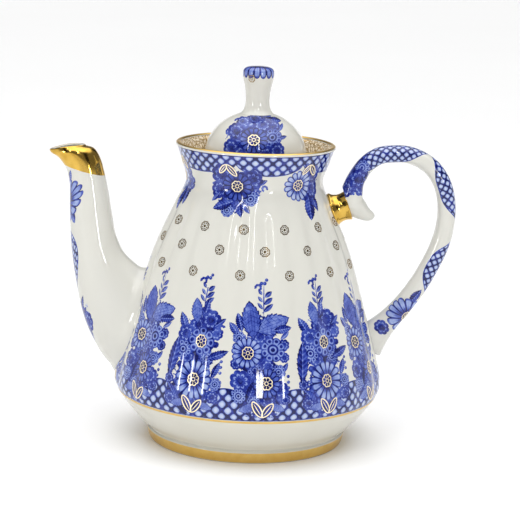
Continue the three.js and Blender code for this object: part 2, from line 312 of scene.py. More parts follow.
BOUQUET_A = [
    (WASH, 0.2, 11, 90, 12, 10, 0), (WASH, -1.4, 26, 90, 12, 9, 0), (WASH, 0.4, 37, 90, 9, 7, 0),
    *sprig(0.9, 44, 15), (RING, -3, 21.4, 3.4, 0.5), (ROSE, 3, 22.6, 3.6, 0.4),
    (ROSE, -0.6, 35.6, 3.8, 0.5), (ROSE, 9.8, 32, 2.8, 0.4), (ROSE, 3.2, 7.6, 3.4, 0.4),
    (RING, -3.4, 7, 3.2, 0.3), (ROSE, 10.2, 26.6, 2.4, 0.5), (ROSE, 10.8, 8.2, 2.4, 0.3),
    (LEAF, -12, 38.5, 128, 3.8, 1.9, 0.4), (LEAF, -9.6, 41.8, 104, 4.2, 2, 0.5),
    (TULIP, 4.8, 41, 22, 8.2, 4.8, 0.35), (LEAF, 9.4, 39, 8, 4.2, 2, 0.6),
    (TULIP, -4.6, 43, 97, 8.6, 4.5, 0.6), (RING, -9.8, 34.8, 3.2, 0.3),
    (ROSE, -11.4, 23.4, 2.6, 0.4), (DAISY, -6.4, 28.6, 8, 7.2, 7.2, 0.4),
    (LEAF, 10.4, 22, 60, 2.8, 1.2, 0.5), (LEAF, 10.3, 36.2, 40, 2.6, 1.1, 0.2),
    (RING, 5.1, 30, 5.6, 0.35), (ROSE, -9.2, 16.2, 5.1, 0.45), (RING, -10, 9.6, 3.4, 0.2),
    (LEAF, -4.2, 12.4, 70, 4.8, 2, 0.8), (BERRY, -2.2, 20.2, 1.6, 0.6), (RING, 7.6, 20.4, 3.4, 0.4),
    (ROSE, 8.2, 12.6, 15, 4.2, 4.2, 0.5), (DAISY, 2.4, 15.2, 0, 6.4, 7.2, 0.8),
    (TULIP, -5.6, 4.6, 200, 4.6, 2.2, 0.3), (TULIP, 7, 4.8, -20, 4, 1.9, 0.3),
    (BERRY, -6.4, 28.6, 2.9, 1), (BERRY, 2.4, 15.2, 3, 1), *FOOT_LEAVES,
    *berries(-12.4, 30.8, 3, 0.4, -2.6, 0.7), *berries(12, 18.4, 3, 0.1, -2.5, 0.8),
]

BOUQUET_B = [
    (WASH, -0.6, 11, 90, 12, 10, 0), (WASH, 0.6, 26, 90, 12, 9, 0), (WASH, 1, 38, 90, 10, 7, 0),
    *sprig(0.4, 46, 14, 88), (ROSE, -4, 24.4, 3.4, 0.4), (RING, 5.4, 25.2, 3.4, 0.4),
    (ROSE, -1.4, 39, 3.6, 0.5), (ROSE, 8.2, 36, 3.2, 0.3), (ROSE, 0.8, 5, 3.2, 0.3),
    (ROSE, -11.6, 14, 2.6, 0.4), (LEAF, -8, 39.4, 118, 4.8, 2.2, 0.5),
    (TULIP, -2.6, 45, 100, 5.8, 2.7, 0.4), (LEAF, 1.8, 45.6, 78, 5, 1.9, 0.5),
    (ROSE, 4.8, 41.6, 4.9, 0.6), (LEAF, 9.2, 41, 40, 3, 1.3, 0.6),
    (CURL, 10.2, 38.4, 200, 1.7, 1.7, 0.2), (ROSE, -6, 34.4, 30, 4.4, 4.4, 0.35),
    (RING, -6.6, 27.6, 4.2, 0.3), (LEAF, -10.9, 23.5, 82, 9.6, 2.9, 0.7),
    (LEAF, 10, 26.6, 24, 5.2, 2, 0.8), (BERRY, -7, 20.8, 1.6, 0.6), (BERRY, 8.6, 31.2, 1.5, 0.5),
    (RING, 1.6, 32, 20, 6.6, 6.6, 0.4), (LEAF, -9.2, 8.6, 130, 4.6, 2.4, 0.7),
    (ROSE, -10, 5.6, 3.1, 0.35), (LEAF, 10.2, 20, 70, 4, 1.6, 0.7), (RING, 10.8, 14, 3, 0.3),
    (ROSE, 10.2, 8.2, 3, 0.4), (DAISY, 0.4, 14.9, 5, 9, 9.4, 0.3),
    (TULIP, -5.8, 4, 190, 4, 1.9, 0.3), (TULIP, 6.8, 4, -15, 4, 1.8, 0.3), (BERRY, 1.6, 32, 3, 1),
    (BERRY, 0.4, 14.9, 3.1, 1), *FOOT_LEAVES, *berries(12.2, 24, 3, 0.1, -2.5, 0.75),
]

COLLAR_C = [
    (WASH, -0.6, 0, 0, 12, 8.5, 0), (WASH, -1.5, -7, 0, 7, 6, 0),
    (LEAF, 10.6, 1.4, 25, 3.4, 1.3, 0.4), (CURL, 12.2, -1.2, 150, 1.5, 1.5, 0.2),
    (CURL, 9.6, -3.2, 200, 1.4, 1.4, 0.2), (RING, 6.4, -6, 3.7, 0.2), (ROSE, -6.9, 4.4, 5.6, 0.7),
    (ROSE, -8.2, -2.6, 20, 4.4, 4.4, 0.5), (LEAF, -9.8, -6.2, 230, 2.8, 1.2, 0.3),
    (ROSE, 7, 2.8, 10, 5, 5, 0.7), (RING, -3.4, -12, 3.2, 0.2),
    (LEAF, -5.8, -9.6, 205, 5.2, 2.4, 0.8), (LEAF, 1.9, -9.6, 285, 5.4, 2.3, 0.8),
    (LEAF, 4.8, -10.2, 310, 3.4, 1.3, 0.5), (DAISY, 0, -0.6, 7.2, 0.95), (BERRY, 0, -0.6, 2.9, 1),
    *collar_leaves(-4.2),
]

COLLAR_D = [
    (WASH, 6.5, -1, 90, 9, 6, 0), (LEAF, 5.4, -10.6, 262, 6.2, 3.1, 0.8),
    (LEAF, 9.4, -8.4, 285, 5, 2.1, 0.8), (ROSE, 8.6, -2.4, 4.8, 0.7), (ROSE, 7.6, 4.6, 4.8, 0.6),
    (LEAF, 3, 7.2, 100, 4, 1.9, 0.6), (BERRY, -6, 7.4, 1, 0.3), (DAISY, 0, 0, 3, 7.6, 7.6, 0.1),
    (BERRY, 0, 0, 2.8, 1), *collar_leaves(4.4),
]

LID_BOUQUET = [
    (WASH, 0, -1, 0, 13, 9.5, 0), (WASH, 0, 8, 0, 9, 6.5, 0), (LEAF, 3.4, 15, 10, 4.8, 1.8, 0.7),
    (LEAF, 8.4, 12.2, -14, 5.8, 2.6, 0.9), (CURL, -8.8, 10.2, 90, 2, 2, 0.3),
    (ROSE, -0.2, 13.2, 4.2, 0.6), (ROSE, -5.6, 10.4, 4, 0.5), (ROSE, 8.8, 7.6, 3.6, 0.6),
    (CURL, -12.8, 3, 150, 1.8, 1.8, 0.3), (LEAF, 12.6, 6.6, 55, 3.2, 1.3, 0.5),
    (LEAF, 13.4, 1.2, 10, 2.8, 1.1, 0.5), (ROSE, -8.6, 4, 5, 0.7), (ROSE, 3.4, 8.4, 4.8, 0.5),
    (RING, 8.4, 1.4, 5, 0.5), (BERRY, -3.8, 7.2, 1.4, 0.3), (ROSE, -10.4, -4.4, 4.4, 0.6),
    (ROSE, -5, -7, 4.8, 0.6), (ROSE, 5.4, -7, 4.8, 0.6), (ROSE, 11, -5, 4, 0.6),
    (ROSE, 0, -9, 4.4, 0.6), (DAISY, 0, 0, 10, 6.8, 6.8, 0.9), (BERRY, 0, 0, 3.1, 1),
]


def placed(motifs, u, v):
    """A bouquet's motifs with its place (u, v), and the short form written out."""
    out = []
    for kind, x, y, *form, shade in motifs:
        turn, long, wide = form if len(form) == 3 else (0, form[0], form[0])
        out.append((kind, u, v, x, y, turn, long, wide, shade))
    return out


def rotated(x, y, degrees):
    """Coordinates along and across a direction."""
    cos, sin = math.cos(math.radians(degrees)), math.sin(math.radians(degrees))
    return x * cos + y * sin, y * cos - x * sin


def wrapped(across, period):
    return (across + period / 2) % period - period / 2 if period else across


def lay_motifs(corner_u, corner_v, metric, motifs, period):
    """The paint layers: for each face's corners, the front-most motifs that reach the face.

    corner_u and corner_v are surface coordinates of each face's corners. metric(v) is the
    number of millimetres in one unit of u at v; v is in millimetres.
    """
    middle_u, middle_v = corner_u.mean(axis=1), corner_v.mean(axis=1)
    layers = np.zeros((LAYERS,) + corner_u.shape + (3,), np.float32)
    used = np.zeros(len(corner_u), int)
    for kind, u, v, x, y, turn, long, wide, shade in reversed(motifs):
        if kind == WASH:
            continue
        across = wrapped(middle_u - u, period)
        reach = max(long, wide) + 2
        near = (np.abs(middle_v - v - y) < reach) & (used < LAYERS)
        near &= np.abs(across * metric(middle_v) - x) < reach
        face = np.flatnonzero(near)
        shift = (across - middle_u)[face][:, None]
        px = (corner_u[face] + shift) * metric(corner_v[face]) - x
        lx, ly = rotated(px, corner_v[face] - v - y, turn)
        lx, ly = lx / long, ly / wide
        inside = (np.abs(lx).min(axis=1) < MARGIN) & (np.abs(ly).min(axis=1) < MARGIN)
        if kind < LEAF:
            inside &= np.hypot(lx, ly).min(axis=1) < MARGIN
        face, lx, ly = face[inside], lx[inside], ly[inside]
        layers[used[face], face] = np.stack([lx, ly, np.full_like(lx, kind + 0.9 * shade)], -1)
        used[face] += 1
    return layers


def wash_field(corner_u, corner_v, metric, motifs, period):
    """Millimetres inside the washes that fill the bouquets, for each face's corners."""
    field = np.full(corner_u.shape, OUTSIDE)
    for kind, u, v, x, y, turn, long, wide, _ in motifs:
        if kind == WASH:
            across = wrapped(corner_u - u, period)
            px, py = rotated(across * metric(corner_v) - x, corner_v - v - y, turn)
            field = np.maximum(field, (1 - np.hypot(px / long, py / wide)) * min(long, wide))
    return np.stack([field, 0 * field, 0 * field], -1)


def paint(mesh, corner_u, corner_v, metric, motifs, net, period=None, order=None):
    """Store a surface's painting on its mesh. `order` gives each face corner's loop."""
    layers = lay_motifs(corner_u, corner_v, metric, motifs, period)
    write_paint(mesh, layers, net, wash_field(corner_u, corner_v, metric, motifs, period), order)


def write_paint(mesh, layers, net, wash, order=None):
    named = {f"paint{k}": layer for k, layer in enumerate(layers)}
    for name, values in (named | {"net": net, "wash": wash}).items():
        if order is not None:
            loops = np.zeros((len(mesh.loops), 3), np.float32)
            loops[order.reshape(-1)] = values.reshape(-1, 3)
            values = loops
        layer = mesh.attributes.new(name, "FLOAT_VECTOR", "CORNER")
        layer.data.foreach_set("vector", np.asarray(values, np.float32).reshape(-1))


# ---- Node helpers ----


def linear(code):
    """A hex colour as linear RGBA."""
    channels = [int(code[k:k + 2], 16) / 255 for k in (0, 2, 4)]
    return [c / 12.92 if c <= 0.04045 else ((c + 0.055) / 1.055) ** 2.4 for c in channels] + [1]


class Nodes:
    """Short spelling for maths in a node tree. A value is a number or an output socket."""

    def __init__(self, tree):
        self.tree = tree

    def new(self, kind, **settings):
        node = self.tree.nodes.new(kind)
        for key, value in settings.items():
            setattr(node, key, value)
        return node

    def link(self, value, socket):
        if isinstance(value, bpy.types.NodeSocket):
            self.tree.links.new(value, socket)
        else:
            socket.default_value = value

    def math(self, operation, *values, clamp=False):
        node = self.new("ShaderNodeMath", operation=operation, use_clamp=clamp)
        for value, socket in zip(values, node.inputs):
            self.link(value, socket)
        return node.outputs[0]

    def add(self, a, b):
        return self.math("ADD", a, b)

    def sub(self, a, b):
        return self.math("SUBTRACT", a, b)

    def mul(self, a, b):
        return self.math("MULTIPLY", a, b)

    def fma(self, a, b, c):
        return self.math("MULTIPLY_ADD", a, b, c)

    def step(self, low, high, value):
        """0 below low, 1 above high, smooth between. low above high falls instead."""
        node = self.new("ShaderNodeMapRange", interpolation_type="SMOOTHSTEP")
        rising = low < high
        for socket, given in zip(node.inputs, (value, min(low, high), max(low, high),
                                               0.0 if rising else 1.0, 1.0 if rising else 0.0)):
            self.link(given, socket)
        return node.outputs[0]

    MIX_SOCKETS = {"FLOAT": (2, 0), "VECTOR": (4, 1), "RGBA": (6, 2)}   # first input, output

    def mix(self, factor, a, b, kind="FLOAT"):
        node = self.new("ShaderNodeMix", data_type=kind)
        first, result = self.MIX_SOCKETS[kind]
        self.link(factor, node.inputs[0])
        self.link(a, node.inputs[first])
        self.link(b, node.inputs[first + 1])
        return node.outputs[result]

    def blend(self, factor, first, second):
        """A colour between two hex colours."""
        return self.mix(factor, linear(first), linear(second), "RGBA")

    def feed(self, node, values):
        """Give a node's named inputs their values."""
        for name, value in values.items():
            self.link(value, node.inputs[name])

    def object_place(self):
        return self.new("ShaderNodeTexCoord").outputs["Object"]

    def attribute(self, name):
        return self.new("ShaderNodeAttribute", attribute_name=name).outputs["Vector"]

    def split(self, vector):
        node = self.new("ShaderNodeSeparateXYZ")
        self.link(vector, node.inputs[0])
        return node.outputs[0], node.outputs[1], node.outputs[2]

    def noise(self, scale, detail=2.0, vector=None):
        node = self.new("ShaderNodeTexNoise")
        if vector is None:
            vector = self.object_place()
        self.feed(node, {"Scale": scale, "Detail": detail, "Vector": vector})
        return node.outputs["Fac"]

    def ramp(self, value, stops):
        node = self.new("ShaderNodeValToRGB")
        band = node.color_ramp
        while len(band.elements) < len(stops):
            band.elements.new(0.5)
        for element, (position, code) in zip(band.elements, stops):
            element.position = position
            element.color = linear(code)
        self.link(value, node.inputs[0])
        return node.outputs[0]


def petal_phase(n, turn, count):
    """Distance from the nearest petal's middle line, 0, to the gap between two petals, 1."""
    phase = n.math("FRACT", n.mul(turn, count))
    return n.math("ABSOLUTE", n.fma(phase, 2.0, -1.0))


def is_kind(n, kind, number):
    return n.math("COMPARE", kind, float(number), 0.4)


def polar(n, x, y):
    """Distance from the middle, and turn from 0 to 1."""
    radius = n.math("SQRT", n.fma(x, x, n.mul(y, y)))
    return radius, n.fma(n.math("ARCTAN2", y, x), 1 / TAU, 0.5)


def petal_count(n, kind):
    return n.fma(is_kind(n, kind, DAISY), 7.0, 8.0)


def lobed(n, gap):
    """Outline radius of a round motif: petals with rounded tips."""
    return n.fma(n.math("SQRT", n.sub(1.0, n.mul(gap, gap))), 0.19, 0.79)


def leaf_width(n, x):
    """Half width of a long motif at x, with a toothed edge."""
    teeth = n.fma(n.math("FRACT", n.mul(x, 4.5)), 0.2, 0.86)
    return n.mul(n.fma(n.mul(x, x), -1.0, 1.0), teeth)


def cover_group():
    """Whether a motif covers this point. X and Y run -1..1 over it; Z is its kind plus shade."""
    tree = bpy.data.node_groups.new("motif_cover", "ShaderNodeTree")
    tree.interface.new_socket("Under", in_out="INPUT", socket_type="NodeSocketVector")
    tree.interface.new_socket("Place", in_out="INPUT", socket_type="NodeSocketVector")
    tree.interface.new_socket("Front", in_out="OUTPUT", socket_type="NodeSocketVector")
    n = Nodes(tree)
    given = n.new("NodeGroupInput")
    x, y, code = n.split(given.outputs["Place"])
    kind = n.math("FLOOR", code)
    radius, turn = polar(n, x, y)
    reach = lobed(n, petal_phase(n, turn, petal_count(n, kind)))
    bow = n.add(n.math("ABSOLUTE", n.sub(radius, 0.7)), n.math("GREATER_THAN", turn, 0.8))
    radius = n.mix(is_kind(n, kind, CURL), radius, n.add(bow, 0.62))
    across = n.sub(leaf_width(n, x), n.math("ABSOLUTE", y))
    depth = n.mix(n.math("GREATER_THAN", kind, CURL + 0.5), n.sub(reach, radius), across)
    covered = n.math("GREATER_THAN", depth, 0.0)
    front = n.mix(covered, given.outputs["Under"], given.outputs["Place"], "VECTOR")
    n.link(front, n.new("NodeGroupOutput").inputs["Front"])
    return tree


def tone_of(n, place, ground):
    """How dark the paint is: `ground` where no motif is, else the motif's own drawing."""
    x, y, code = n.split(place)
    kind = n.math("FLOOR", code)
    shade = n.sub(code, kind)
    radius, turn = polar(n, x, y)
    gap = petal_phase(n, turn, petal_count(n, kind))
    rim = n.step(0.14, 0.03, n.sub(lobed(n, gap), radius))
    side = n.math("ABSOLUTE", y)
    tone = ground

    line = n.mul(n.step(0.55, 0.9, gap), n.step(0.16, 0.4, radius))
    core = n.step(0.66, 0.3, radius)
    vein = n.mul(n.step(0.26, 0.0, gap), n.step(0.8, 0.35, radius))
    drawn = n.fma(line, 0.62, n.fma(rim, 0.42, n.fma(core, 0.5, n.fma(vein, 0.22, 0.12))))
    tone = n.mix(is_kind(n, kind, DAISY), tone, n.fma(shade, 0.5, drawn))

    swirl = n.math("SINE", n.fma(radius, 13.0, n.mul(gap, 2.2)))
    crescent = n.mul(n.step(0.2, 0.85, swirl), n.step(0.95, 0.5, gap))
    drawn = n.fma(crescent, -0.42, n.fma(n.step(0.26, 0.12, radius), 0.3, 0.62))
    tone = n.mix(is_kind(n, kind, ROSE), tone, n.fma(shade, 0.3, drawn))

    off = n.sub(radius, 0.7)
    dots = n.step(0.022, 0.006, n.fma(off, off, n.mul(n.mul(gap, gap), 0.06)))
    ring = n.step(0.1, 0.05, n.math("ABSOLUTE", n.sub(radius, 0.36)))
    line = n.mul(n.step(0.7, 0.95, gap), n.step(0.45, 0.55, radius))
    drawn = n.fma(n.step(0.19, 0.13, radius), 0.65, n.fma(line, 0.35, n.fma(rim, 0.35, 0.16)))
    drawn = n.fma(dots, 0.5, n.fma(ring, 0.5, drawn))
    tone = n.mix(is_kind(n, kind, RING), tone, n.fma(shade, 0.5, drawn))

    gleam_x, gleam_y = n.add(x, 0.25), n.sub(y, 0.25)
    gleam = n.step(0.2, 0.05, n.fma(gleam_x, gleam_x, n.mul(gleam_y, gleam_y)))
    gleam = n.mul(gleam, n.fma(shade, -0.44, 0.4))
    tone = n.mix(is_kind(n, kind, BERRY), tone, n.fma(shade, 0.42, n.sub(0.62, gleam)))

    tone = n.mix(is_kind(n, kind, CURL), tone, n.fma(shade, 0.3, 0.55))

    width = leaf_width(n, x)
    rim = n.step(0.22, 0.04, n.sub(width, side))
    phase = n.math("FRACT", n.fma(x, 4.0, n.mul(side, -1.1)))
    veins = n.step(0.28, 0.1, n.math("ABSOLUTE", n.sub(phase, 0.5)))
    drawn = n.fma(n.step(0.13, 0.04, side), -0.3, n.fma(rim, 0.22, 0.45))
    drawn = n.fma(n.step(-0.05, 0.05, y), 0.24, n.fma(veins, -0.2, drawn))
    tone = n.mix(is_kind(n, kind, LEAF), tone, n.fma(shade, 0.42, drawn))

    fan = n.math("DIVIDE", y, n.add(width, 0.08))
    streak = n.step(0.35, 0.1, n.math("ABSOLUTE", n.math("SINE", n.mul(fan, 11.0))))
    cross = n.step(0.3, 0.1, n.math("ABSOLUTE", n.math("SINE", n.fma(x, 12.0, n.mul(side, 4.0)))))
    drawn = n.fma(streak, 0.28, n.fma(cross, 0.16, n.fma(rim, 0.38, 0.25)))
    tone = n.mix(is_kind(n, kind, TULIP), tone, n.fma(shade, 0.5, drawn))

    return n.mix(is_kind(n, kind, STEM), tone, n.fma(shade, 0.3, 0.6))


# ---- Materials ----

COBALT = [(0.0, "D4D3CB"), (0.1, "BCC6DE"), (0.28, "8799CE"), (0.5, "485CB2"),
          (0.74, "24338E"), (0.9, "141E74"), (1.0, "080F4C")]


def new_material(name):
    material = bpy.data.materials.new(name)
    material.use_nodes = True
    tree = material.node_tree
    return material, Nodes(tree), tree.nodes["Principled BSDF"]


def mottled(name, scale, detail, first, second):
    """A new material whose colour drifts between two."""
    material, n, shader = new_material(name)
    n.feed(shader, {"Base Color": n.blend(n.noise(scale, detail), first, second)})
    return material, n, shader


def waver(n, shader, strength, distance, scale):
    """A faint waviness of the surface."""
    bump = n.new("ShaderNodeBump")
    n.feed(bump, {"Strength": strength, "Distance": distance, "Height": n.noise(scale, 2.0)})
    n.link(bump.outputs[0], shader.inputs["Normal"])


def glaze_surface(n, shader):
    """Clear porcelain glaze: glossy, and not quite even."""
    n.feed(shader, {"IOR": 1.52, "Coat Weight": 0.1, "Coat Roughness": 0.03,
                    "Specular IOR Level": 0.45,
                    "Roughness": n.fma(n.noise(260.0, 3.0), 0.04, 0.03)})
    waver(n, shader, 0.035, 0.0004, 95.0)


def white_porcelain():
    material, n, shader = mottled("white_porcelain", 38.0, 3.0, "CCCABF", "D3D1C7")
    glaze_surface(n, shader)
    return material


def bare_biscuit():
    material, n, shader = mottled("unglazed_foot", 900.0, 4.0, "CFC9BC", "E6E1D6")
    n.feed(shader, {"Roughness": 0.75})
    return material


def net_tone(n, grain):
    """The cobalt net: light rounded cells between dark lines, with a border at its edge."""
    across, up, field = n.split(n.attribute("net"))
    first = n.math("FRACT", n.mul(n.add(across, up), 0.5))
    second = n.math("FRACT", n.mul(n.sub(across, up), 0.5))
    cube = lambda value: n.math("POWER", n.math("ABSOLUTE", n.sub(value, 0.5)), 3.0)
    reach = n.math("POWER", n.add(cube(first), cube(second)), 1 / 3)
    cell = n.step(0.42, 0.33, reach)
    light = n.fma(n.step(0.1, 0.4, reach), 0.2, 0.1)
    tone = n.mix(cell, n.fma(grain, 0.3, 0.84), light)
    border = n.step(0.75, 0.45, field)
    tone = n.math("MAXIMUM", tone, n.mul(border, 0.78))
    return n.mul(n.step(-0.12, 0.12, field), tone)


def wash_tone(n, under, grain):
    """Small dim foliage that fills the bouquets behind their flowers, with a ragged edge."""
    field, _, _ = n.split(n.attribute("wash"))
    leaves = n.new("ShaderNodeTexVoronoi", feature="F1")
    n.feed(leaves, {"Scale": 330.0, "Vector": n.object_place()})
    pick, _, _ = n.split(leaves.outputs["Color"])
    drawn = n.fma(n.step(0.2, 0.55, leaves.outputs["Distance"]), 0.42, n.fma(pick, 0.5, 0.2))
    ragged = n.fma(grain, 9.0, n.sub(field, 5.6))
    return n.mix(n.step(-0.3, 0.3, ragged), under, drawn)


def painted_porcelain():
    """White porcelain under up to LAYERS motifs a face, over a cobalt net."""
    cover = cover_group()
    material, n, shader = new_material("painted_porcelain")
    grain = n.noise(620.0, 2.0)
    front = (0.0, 0.0, 0.0)
    for layer in reversed(range(LAYERS)):
        place = n.attribute(f"paint{layer}")
        group = n.new("ShaderNodeGroup", node_tree=cover)
        n.feed(group, {"Under": front, "Place": place})
        front = group.outputs["Front"]
    tone = tone_of(n, front, wash_tone(n, net_tone(n, grain), grain))
    washed = n.mul(n.mul(tone, n.fma(n.noise(1500.0, 2.0), 0.5, 0.75)),
                   n.fma(n.noise(300.0, 3.0), 1.4, 0.3))
    n.link(n.ramp(washed, COBALT), shader.inputs["Base Color"])
    glaze_surface(n, shader)
    return material


def gold(name, pale, deep, roughness, metallic=1.0):
    """Fired gold film: bright, with thinner and slightly rubbed patches."""
    material, n, shader = mottled(name, 240.0, 4.0, deep, pale)
    n.feed(shader, {"Metallic": metallic,
                    "Roughness": n.fma(n.noise(520.0, 3.0), 0.14, roughness)})
    waver(n, shader, 0.08, 0.0003, 160.0)
    return material


def gold_lace():
    """The inside of the collar: pale ground under a fine lacework of gold."""
    material, n, shader = new_material("gold_lace_collar")
    place = n.object_place()
    lace = n.new("ShaderNodeTexVoronoi", feature="DISTANCE_TO_EDGE")
    n.feed(lace, {"Scale": 520.0, "Vector": place})
    curls = n.noise(760.0, 3.0, place)
    thread = n.math("MAXIMUM", n.step(0.12, 0.05, lace.outputs["Distance"]),
                    n.step(0.56, 0.62, curls))
    n.feed(shader, {"Base Color": n.blend(thread, "E9DCC6", "D2B075"),
                    "Metallic": n.mul(thread, 0.6), "Roughness": n.fma(thread, 0.12, 0.14)})
    return material


porcelain = white_porcelain()
painted = painted_porcelain()
biscuit = bare_biscuit()
bright_gold = gold("bright_gold", "E2BE62", "BE9234", 0.06)
line_gold = gold("line_gold", "FFF6DF", "EED8A8", 0.28, metallic=0.5)
# A darker copy of the gold for the small blossoms on white and the knob's blossom. Its darkening is
# a painted dark reflection, standing in for the dark surroundings that the gold mirrors.
gold_with_painted_dark_reflection = gold("gold_with_painted_dark_reflection", "9A7E46", "5E4720", 0.2)
band_gold = gold("band_gold", "E9C97C", "D0A652", 0.25)
lace = gold_lace()


# ---- Body wall ----

BODY_COLUMNS = RIBS * 16
BOUQUETS = 12
BOUQUET_STEP = TAU / BOUQUETS
BOUQUET_PHASE = FRONT + math.radians(6)
BOUQUET_FOOT_Z = 26.0
ARCH_RISE = 9.5
SWAG_DROP = 5.8
WAIST_Z = 80                         # the lower net lies below this height, the upper one above
NET_CELLS = (72, 42)                 # round the pot, in the lower net and in the upper one
NET_PITCH = (2.75, 2.35)
COLLAR_STEP = TAU / 3                # from one wide motif to the next
COLLAR_PHASE = FRONT - math.radians(14)
COLLAR_SWAG = math.radians(52)       # from a wide motif round to the next single daisy
COLLAR_HEART_Z = 123.6
COLLAR_PLACES = []                   # each motif's design, angle, and foot of its gilded leaves
for k in range(3):
    start = COLLAR_PHASE + k * COLLAR_STEP
    COLLAR_PLACES += [(COLLAR_C, start, -4.2), (COLLAR_D, start + COLLAR_SWAG, 4.4)]


def arch_height(angle):
    """Top of the lower net, as a length up the flank: an arch between every two bouquets."""
    off = np.abs(((angle - BOUQUET_PHASE) / BOUQUET_STEP % 1) - 0.5) * 2
    return flank_at(29.0) + ARCH_RISE * (1 - off ** 2.2)


def scallop_depth(angle):
    """Bottom of the collar's net, as a length up the flank: a swag between two motifs."""
    turn = (angle - COLLAR_PHASE) % COLLAR_STEP
    phase = np.where(turn < COLLAR_SWAG, turn / COLLAR_SWAG,
                     (turn - COLLAR_SWAG) / (COLLAR_STEP - COLLAR_SWAG))
    off = np.abs(phase - 0.5) * 2
    return flank_at(133.5) - SWAG_DROP * np.sqrt(np.clip(1 - off * off, 0, 1))


def paint_body(grid, row_z, painted_rows):
    angle = grid.angles()
    z = grid.corners(row_z)
    up = flank_at(z)
    low = z.mean(axis=1, keepdims=True) < WAIST_Z
    cells, pitch = np.where(low, *NET_CELLS), np.where(low, *NET_PITCH)
    start = np.where(low, flank_at(SEAM_Z), flank_at(RIM_Z))
    field = np.where(low, np.minimum(arch_height(angle) - up, up - flank_at(SEAM_Z + 0.8)),
                     np.minimum(up - scallop_depth(angle), flank_at(137.2) - up))
    outside = grid.faces_in_rows(0, painted_rows)[:, None]
    net = np.stack([angle * cells * 2 / TAU, (up - start) / pitch,
                    np.where(outside, field, OUTSIDE)], -1)
    motifs = []
    for k in range(BOUQUETS):
        motifs += placed((BOUQUET_A, BOUQUET_B)[k % 2], BOUQUET_PHASE + k * BOUQUET_STEP,
                         float(flank_at(BOUQUET_FOOT_Z)))
    for design, turn, _ in COLLAR_PLACES:
        motifs += placed(design, turn, float(flank_at(COLLAR_HEART_Z)))
    paint(grid.mesh, angle, np.where(outside, up, UNPAINTED),
          lambda length: flank_radius(flank_z(length)), motifs, net, period=TAU)


def inner_flank(inset, low, high, count):
    """Points down the wall's inner side, between two heights."""
    return evenly([(r - inset, z) for r, z in catmull(FLANK, 12) if low < z < high][::-1], count)


def make_body():
    outer = evenly(flank_curve, 138)[:-1]
    lip = arc(LIP_CENTRE, LIP_ROUND, -10, 190, 10)
    collar = inner_flank(2.6, LEDGE_Z + 1.5, RIM_Z - 1.6, 14)
    ledge = [(LEDGE_RADIUS + 0.2, LEDGE_Z + 0.4), (LEDGE_RADIUS - 0.3, LEDGE_Z),
             (THROAT_RADIUS + 0.4, LEDGE_Z), (THROAT_RADIUS, LEDGE_Z - 0.4),
             (THROAT_RADIUS, LEDGE_Z - 3.6), (THROAT_RADIUS + 0.6, LEDGE_Z - 4.2)]
    inner = inner_flank(WALL + 0.7, SEAM_Z + 2, LEDGE_Z - 7, 34)
    foot = [(SEAM_RADIUS - WALL, SEAM_Z), (SEAM_RADIUS - 1.5, SEAM_Z)]
    profile = np.concatenate([outer, lip, collar, ledge, inner, foot])
    angle = turns(BODY_COLUMNS)
    radius = np.repeat(profile[:, :1], BODY_COLUMNS, 1)
    radius[:len(outer)] = body_radius(angle, outer[:, 1:])
    grid = Grid("body_wall", revolve(radius, profile[:, 1], angle), True)
    paint_body(grid, profile[:, 1], len(outer))
    lip_end = len(outer) + len(lip)
    laced = grid.faces_in_rows(lip_end - 2, lip_end + len(collar) - 1)
    return grid.finish(painted, lace, index=laced)


STRAINER_X, STRAINER_Z = -53.5, 52.0
STRAINER_RING = 8                    # radius of the ring of holes
STRAINER_HOLE = 2


def strainer():
    """Pierced holes behind the spout: one in the middle and a ring of six, square to the wall."""
    solid = bmesh.new()
    for turn, ring in [(0, 0)] + [(turn, STRAINER_RING) for turn in turns(6)]:
        across, up = ring * math.cos(turn), ring * math.sin(turn)
        middle = (STRAINER_X + 0.29 * up, across, STRAINER_Z + 0.96 * up)
        drill(solid, STRAINER_HOLE, middle, -73, "Y")
    return solid


body = make_body()
subtract(body, strainer())
place(body, POT, "porcelain_painted", "pot_body")

# ---- Base ----


def make_base():
    inside = [(0, 8.0), (20, 8.0), (38.0, 8.4), (42.0, 9.2), (46, 11.4), (50.6, 15.2), (55.0, 19.8),
              (SEAM_RADIUS - WALL, SEAM_Z)]
    side = [(SEAM_RADIUS, SEAM_Z), (SEAM_RADIUS - 0.5, SEAM_Z - 0.7)]
    pan = catmull([(58.1, 20.2), (54.6, 15.6), (50.6, 11.0), (47.4, 8.0), (46.2, 6.7)], 6)
    step = [(45.4, 6.3), (45.3, 6.0), (45.9, 5.5)]
    ring = catmull([(46.0, 5.2), (45.6, 3.0), (45.1, 1.2), (44.6, 0.3)], 5)
    tread = [(44.2, 0.0), (41.0, 0.0), (40.4, 0.5)]
    recess = [(39.6, RECESS - 1.0), (38.4, RECESS), (20, RECESS), (0, RECESS)]
    outline = np.concatenate([inside, side, pan, step, ring, tread, recess])
    grid = turned("base_pan", outline, 256)
    on_table = np.flatnonzero(outline[:, 1] < 0.01)
    return grid.finish(porcelain, biscuit, index=grid.faces_in_rows(on_table[0], on_table[-1]))


place(make_base(), POT, "porcelain_white", "base_with_foot")

# ---- Spout ----
# Sections from inside the pot to the mouth: middle x and z, slope of the section's long axis
# in degrees, half its height and half its width.

